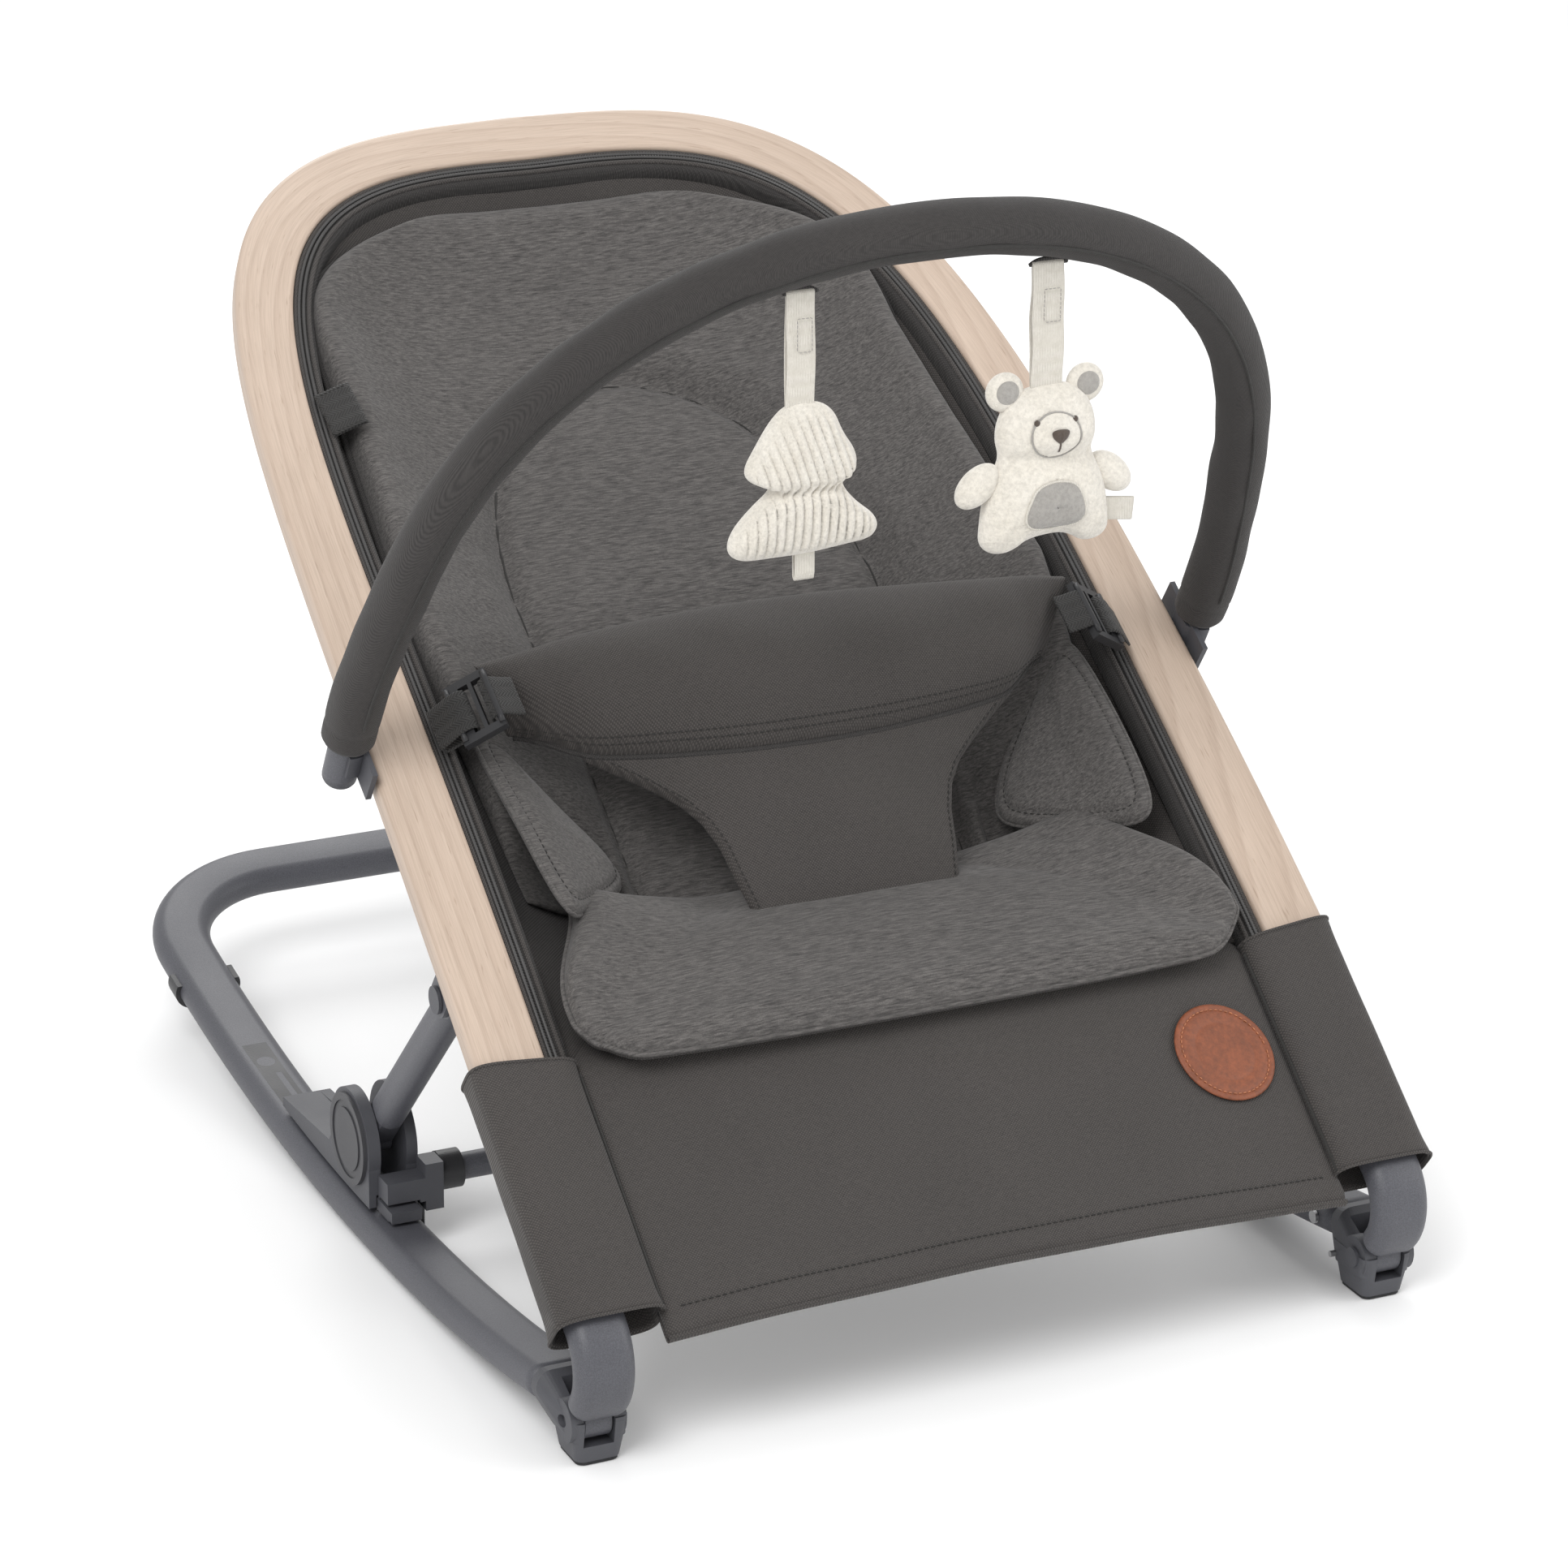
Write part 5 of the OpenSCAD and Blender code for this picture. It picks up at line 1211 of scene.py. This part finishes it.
# ---------- waist straps ----------
LEAN = math.radians(36)
for side, word in ((-1, "left"), (1, "right")):
    def strap_point(x, z):
        return (side * (158 + x * math.cos(LEAN) + z * math.sin(LEAN)), 181.0, 28.5 - x * math.sin(LEAN) + z * math.cos(LEAN))
    outer_run = [(23, -2.4), (18, -2.7), (12, -2.6), (7.5, -2.3), (5.2, -1.2), (4.0, 1.2), (4.2, 3.6), (6.2, 4.9), (9, 5.2), (13, 4.6), (18, 3.0), (24, 1.4)]
    inner_run = [(-3.7, -0.6), (-3.7, 1.6), (-4.6, 3.4), (-6.8, 4.1), (-9.2, 3.0), (-11.5, 0.2), (-14, -3.2), (-17, -6.5)]
    for tag_name, run in (("outer", outer_run), ("inner", inner_run)):
        line3 = even([strap_point(x, z) for x, z in run], 0.8)
        band3 = ribbon(f"strap_{tag_name}_{word}", line3, (0, 1, 0), 22, 1.3, M["tape"], SEAT)
        place(band3, "seat", "dark_tape", *([f"webbing_{word}"] if tag_name == "outer" else []))
    for k, x in enumerate((-8.0, 11.5)):
        bar = [strap_point(x, 3.6) for _ in range(2)]
        bar = [(bar[0][0], 166.0 + 30 * t, bar[0][2]) for t in np.linspace(0, 1, 8)]
        place(tube(f"buckle_rib_{k + 1}_{word}", bar, 1.5, M["dark"], SEAT, sides=12), "seat", "dark_plastic")

# ---------- toys ----------


def toy_arch(x):
    p = arch_at(x)
    return p[1], p[2]


def toy_frame(x):
    y, _ = toy_arch(x)
    return Matrix.Translation((x / 1000, (y - MID_Y) / 1000, 0))


def hang_strap(name, x, low_z, width, body, node):
    """A doubled ribbon from a dark tab under the sleeve down to the toy."""
    y, z = toy_arch(x)
    top_z = z - SLEEVE_R - 1.6
    front = [(0, 1.0 + 1.5 * math.sin(math.pi * t) ** 2 * (1 - 0.4 * t), low_z + (top_z - 1.4 - low_z) * t) for t in np.linspace(0, 1, 30)]
    bend_over = [(0, 1.2 * math.cos(a), top_z - 1.4 + 1.5 * math.sin(a)) for a in np.radians(np.linspace(20, 160, 7))]
    rear = [(0, -p[1], p[2]) for p in front[::-1]]
    path3 = even(np.array(front + bend_over + rear) * np.array([1, -1, 1]), 1.2)
    sway3 = 0.35 * waves(path3[:, 2], path3[:, 1] * 0, 40, 91 + int(x)) + 0.35 * np.sign(path3[:, 1])
    path3 = path3 + np.stack([sway3, 0 * sway3, 0 * sway3], 1)
    strap = ribbon(f"{name}_looks", path3, (1, 0, 0), width, 0.9, M["ribbon"], toy_frame(x))
    place(strap, body, "cream_plush", node)
    tab_line = [(t, 0.0, top_z - 1.3 + 0.25 * abs(t) / width) for t in np.linspace(-width / 2 - 1.5, width / 2 + 1.5, 14)]
    place(tube(f"{name}_tab", tab_line, 0.85, M["lining"], toy_frame(x), sides=10), body, "woven_twill")
    hook = [(t, 0.0, top_z + 1.1 - 2.4 * (abs(t) / (width / 2 + 1.5)) ** 3) for t in np.linspace(-width / 2 - 1.5, width / 2 + 1.5, 16)]
    place(tube(f"{name}_tab_root", hook, 0.9, M["lining"], toy_frame(x), sides=10), body, "woven_twill")
    box_low, box_high, half = top_z - 27, top_z - 12, width * 0.26
    box = [(-half, 0, box_low), (half, 0, box_low), (half, 0, box_high), (-half, 0, box_high), (-half, 0, box_low)]
    box = even(np.array(box, float) + np.array([0.8, -3.15, 0]), 1.0)
    place(stitches(f"{name}_stitch", box, np.tile([0, -1.0, 0], (len(box), 1)), M["grey_plush"], toy_frame(x), 2.0, 1.6, 0.22), body, "cream_plush")
    return strap


TREE_TOP, BEAR_TOP = 437.0, 433.0
hang_strap("tree_strap", TREE_X, TREE_TOP - 5, 13.5, "tree", "tree_strap")
hang_strap("bear_strap", BEAR_X, BEAR_TOP - 5, 15.5, "bear", "bear_strap")

tree_shape = [(-6, 439), (8, 439), (16, 434), (20, 424), (27, 414), (27, 406), (20, 402), (21, 398), (27, 391), (36, 384), (38, 378), (34, 373), (22, 372), (4, 370),
              (-16, 370), (-29, 370), (-35, 375), (-33, 383), (-24, 392), (-15, 399), (-14, 402), (-24, 405), (-27, 411), (-21, 421), (-14, 432)]
tree_line = rounded(tree_shape, 300, 3)
tree_out = np.stack([tree_line[:, 0], 0 * tree_line[:, 0], tree_line[:, 1]], 1)


def wales(base, t):
    upper = smooth01((base[:, 2] - 398) / 6)
    across = base[:, 0] * (1 - upper) + (base[:, 0] * 0.94 + (base[:, 2] - 415) * 0.30) * upper
    ridges = np.abs(np.cos(across * math.pi / 4.2)) ** 0.7
    pinch = -3.2 * np.exp(-((base[:, 2] - 400.5) / 3.2) ** 2)
    return 2.3 * ridges + pinch + 0.5 * waves(base[:, 0], base[:, 2], 18, 93)


tree = pillow("tree_toy_looks", tree_out, 9.5, 8.5, M["cord"], toy_frame(TREE_X), (0, -1, 0), 60, 2.6, wales)
place(tree, "tree", "cream_plush", "tree_toy")
loop3 = even([(2, -1.1, 375), (2, -1.5, 368), (2, -1.4, 361), (2, -0.4, 358), (2, 0.8, 360), (2, 1.0, 367), (2, 0.9, 375)], 1.0)
place(ribbon("tree_tail", loop3, (1, 0, 0), 9.5, 0.9, M["ribbon"], toy_frame(TREE_X)), "tree", "cream_plush")

BEAR = toy_frame(BEAR_X)
right_side = [(8, 433.5), (17, 430), (23, 421), (24.5, 411), (22, 403), (24, 397), (28, 390), (30.5, 380), (31.5, 370), (32, 363), (27, 358.5), (19, 358), (13, 362), (6, 364)]
bear_shape = right_side + [(-x, z - 1.0) for x, z in right_side[::-1]]
bear_line = rounded(bear_shape, 220, 3)
bear_out = np.stack([bear_line[:, 0], 0 * bear_line[:, 0], bear_line[:, 1]], 1)


def bear_form(base, t):
    neck = -3.8 * np.exp(-((base[:, 2] - 401) / 4.5) ** 2)
    muzzle = 3.6 * np.exp(-((base[:, 0] / 11.5) ** 2 + ((base[:, 2] - 412) / 9.5) ** 2) ** 2)
    rim_line = -0.9 * np.exp(-((np.hypot(base[:, 0] / 12.2, (base[:, 2] - 412) / 10.4) - 1) / 0.07) ** 2)
    tummy = 1.5 * np.exp(-((base[:, 0] / 16) ** 2 + ((base[:, 2] - 380) / 12.5) ** 2) ** 2)
    return neck + muzzle + rim_line + tummy + 0.35 * waves(base[:, 0], base[:, 2], 12, 95)


bear = pillow("bear_toy_looks", bear_out, 12.5, 11.5, M["cream"], BEAR, (0, -1, 0), 44, 2.8, bear_form)
place(bear, "bear", "cream_plush", "bear_toy")


def ellipse3(cx, cz, rx, rz, y=0.0, tilt=0.0, count=72):
    a = np.linspace(0, 2 * math.pi, count, endpoint=False)
    x, z = rx * np.cos(a), rz * np.sin(a)
    c, s = math.cos(tilt), math.sin(tilt)
    return np.stack([cx + x * c - z * s, np.full(count, y), cz + x * s + z * c], 1)


BEAR_FRONT = np.array([v.co for v in bear.data.vertices]) * 1000
BEAR_FRONT = BEAR_FRONT[BEAR_FRONT[:, 1] < -0.5]


def bear_face_y(x, z):
    """How far forward the bear's front stands at a point."""
    pts = BEAR_FRONT
    d = np.hypot(pts[:, 0] - x, pts[:, 2] - z)
    near = np.argsort(d)[:5]
    w = 1 / (d[near] + 0.2)
    return float((pts[near, 1] * w).sum() / w.sum())


def lay_on_bear(line3, lift):
    return np.array([[p[0], bear_face_y(p[0], p[2]) - lift, p[2]] for p in line3])


for side, word in ((-1, "left"), (1, "right")):
    ear = pillow(f"bear_ear_{word}", ellipse3(side * 20, 431, 9.2, 9.0, 1.0), 4.2, 4.2, M["cream"], BEAR, (0, -1, 0), 12, 2.4)
    place(ear, "bear", "cream_plush")
    inner_ear = pillow(f"bear_ear_lining_{word}", ellipse3(side * 20, 431.5, 5.6, 5.4, -2.4), 1.6, 1.0, M["grey_plush"], BEAR, (0, -1, 0), 10, 2.2)
    place(inner_ear, "bear", "cream_plush")
    arm = pillow(f"bear_arm_{word}", ellipse3(side * 33, 389 - side * 0.5, 12.4, 7.8, 0.5, math.radians(side * -40)), 6.6, 5.8, M["cream"], BEAR, (0, -1, 0), 16, 2.4)
    place(arm, "bear", "cream_plush")
    eye = ellipse3(side * 9.4, 418.5, 1.5, 1.5)
    ey = bear_face_y(side * 9.4, 418.5)
    place(pillow(f"bear_eye_{word}", eye + np.array([0, ey - 0.1, 0]), 1.2, 0.6, M["brown"], BEAR, (0, -1, 0), 8, 2.0), "bear", "cream_plush")
nose_line = rounded([(-4.6, 416.0), (4.6, 416.0), (4.2, 412.4), (0.8, 409.4), (-0.8, 409.4), (-4.2, 412.4)], 60, 3)
nose_y = bear_face_y(0, 413)
place(pillow("bear_nose", np.stack([nose_line[:, 0], np.full(60, nose_y - 0.3), nose_line[:, 1]], 1), 1.3, 0.8, M["brown"], BEAR, (0, -1, 0), 8, 2.2),
      "bear", "cream_plush")
mouth = lay_on_bear([(0, 0, z) for z in np.linspace(409.6, 405.2, 8)], 0.25)
place(tube("bear_mouth", mouth, 0.45, M["brown"], BEAR, sides=8, up=(1, 0, 0)), "bear", "cream_plush")
muzzle_ring = lay_on_bear(ellipse3(0, 412, 12.2, 10.4, count=80), 0.3)
place(tube("bear_muzzle_seam", muzzle_ring, 0.45, M["grey_plush"], BEAR, sides=8, up=(0, 1, 0), loop=True), "bear", "cream_plush")
patch_line = rounded([(-13, 384), (-9, 390), (0, 392), (9, 390), (13, 384), (15.5, 374), (11, 369.5), (0, 369), (-11, 369.5), (-15.5, 374)], 90, 3)
patch_ring = lay_on_bear(np.stack([patch_line[:, 0], 0 * patch_line[:, 0], patch_line[:, 1]], 1), 0.35)
rings_p = [patch_ring * np.array([1, 1, 1])]
centre_p = patch_line.mean(0)
for f in (0.94, 0.8, 0.6, 0.4, 0.2, 0.03):
    flat_p = centre_p + (patch_line - centre_p) * f
    rings_p.append(lay_on_bear(np.stack([flat_p[:, 0], 0 * flat_p[:, 0], flat_p[:, 1]], 1), 0.9 if f < 0.9 else 0.8))
belly_rings = rings_p + [r + np.array([0, 1.6, 0]) for r in rings_p[::-1]]
place(loft("bear_belly_patch", belly_rings, M["grey_plush"], BEAR), "bear", "cream_plush")
place(tube("bear_belly_seam", patch_ring, 0.6, M["ribbon"], BEAR, sides=8, up=(0, 1, 0), loop=True), "bear", "cream_plush")
label = even([(27, 0.5, 372), (36, 0.2, 371), (44, 0.0, 370), (45.2, -0.7, 370), (44, -1.3, 370), (36, -1.1, 371), (27, -0.8, 372)], 1.0)
place(ribbon("bear_label", label, (0.1, 0, 1), 10.5, 0.7, M["ribbon"], BEAR), "bear", "cream_plush")

# ---------- hard parts that keep their CAD shape ----------
for name in ("strut_left", "strut_right", "cross_bar", "strut_bracket_left", "strut_bracket_right"):
    dress(name, M["tube"], 0.0006)
for name in ("front_cap_left", "front_cap_right", "carriage_left", "carriage_right", "latch_block_left", "latch_block_right",
             "bar_clip_left", "bar_clip_right", "release_tab_left", "release_tab_right"):
    dress(name, M["plastic"], 0.0008)
for name in ("disc_cap_left", "disc_cap_right"):
    dress(name, M["disc"], 0.0005)
for name in ("bar_collars", "rear_pads", "track_plate_left", "track_plate_right"):
    dress(name, M["dark"], 0.0004)
for name in ("buckle_left", "buckle_right"):
    dress(name, M["dark"], 0.0009)
dress("front_soles", M["rubber"], 0.0006)
for name in ("front_hinge_pins", "bracket_pins", "carriage_pins"):
    dress(name, M["plastic"], 0.0003)
for name in ("track_screws", "cap_rivets"):
    dress(name, M["steel"], 0.0003)

# ---------- studio ----------
floor_size = 12.0
floor = mesh_object("studio_floor", [(-6000, -6000, -0.4), (6000, -6000, -0.4), (6000, 6000, -0.4), (-6000, 6000, -0.4)], [(0, 1, 2, 3)],
                    material("floor_paint", 0.8)[0], Matrix.Identity(4), smooth=False)
floor_shader = floor.data.materials[0].node_tree.nodes["Principled BSDF"]
floor_shader.inputs["Base Color"].default_value = (0.93, 0.93, 0.93, 1)
floor_shader.inputs["Specular IOR Level"].default_value = 0.1

world = bpy.data.worlds.new("studio")
world.use_nodes = True
world.node_tree.nodes["Background"].inputs["Color"].default_value = (1, 1, 1, 1)
world.node_tree.nodes["Background"].inputs["Strength"].default_value = 0.85
bpy.context.scene.world = world
bpy.context.scene.view_settings.view_transform = "Standard"


def soft_light(name, place_m, aim_m, size, watts, tone=(1, 1, 1)):
    light = bpy.data.lights.new(name, "AREA")
    light.shape, light.size, light.energy, light.color = "DISK", size, watts, tone
    obj = bpy.data.objects.new(name, light)
    obj.location = place_m
    obj.rotation_euler = (Vector(aim_m) - Vector(place_m)).to_track_quat("-Z", "Y").to_euler()
    bpy.context.scene.collection.objects.link(obj)
    return obj


soft_light("key", (-1.6, -1.5, 2.4), (0, 0, 0.2), 1.6, 46)
soft_light("fill", (2.2, -1.4, 1.5), (0, 0, 0.2), 2.0, 20)
soft_light("rim", (0.6, 2.2, 1.9), (0, 0, 0.3), 1.4, 22)

CAMERA_AT = Vector((-0.99917, -2.20473, 1.08751))
CAMERA_AIM = Vector((-0.00189, -0.06321, 0.20631))
CAMERA_ROLL = 0.20
camera = bpy.data.objects.new("camera", bpy.data.cameras.new("camera"))
camera.data.lens, camera.data.sensor_width = 122.09, 36
camera.data.clip_end = 60
turn = (CAMERA_AIM - CAMERA_AT).to_track_quat("-Z", "Y").to_matrix().to_4x4()
camera.matrix_world = Matrix.Translation(CAMERA_AT) @ turn @ Matrix.Rotation(math.radians(CAMERA_ROLL), 4, "Z")
bpy.context.scene.collection.objects.link(camera)
bpy.context.scene.camera = camera
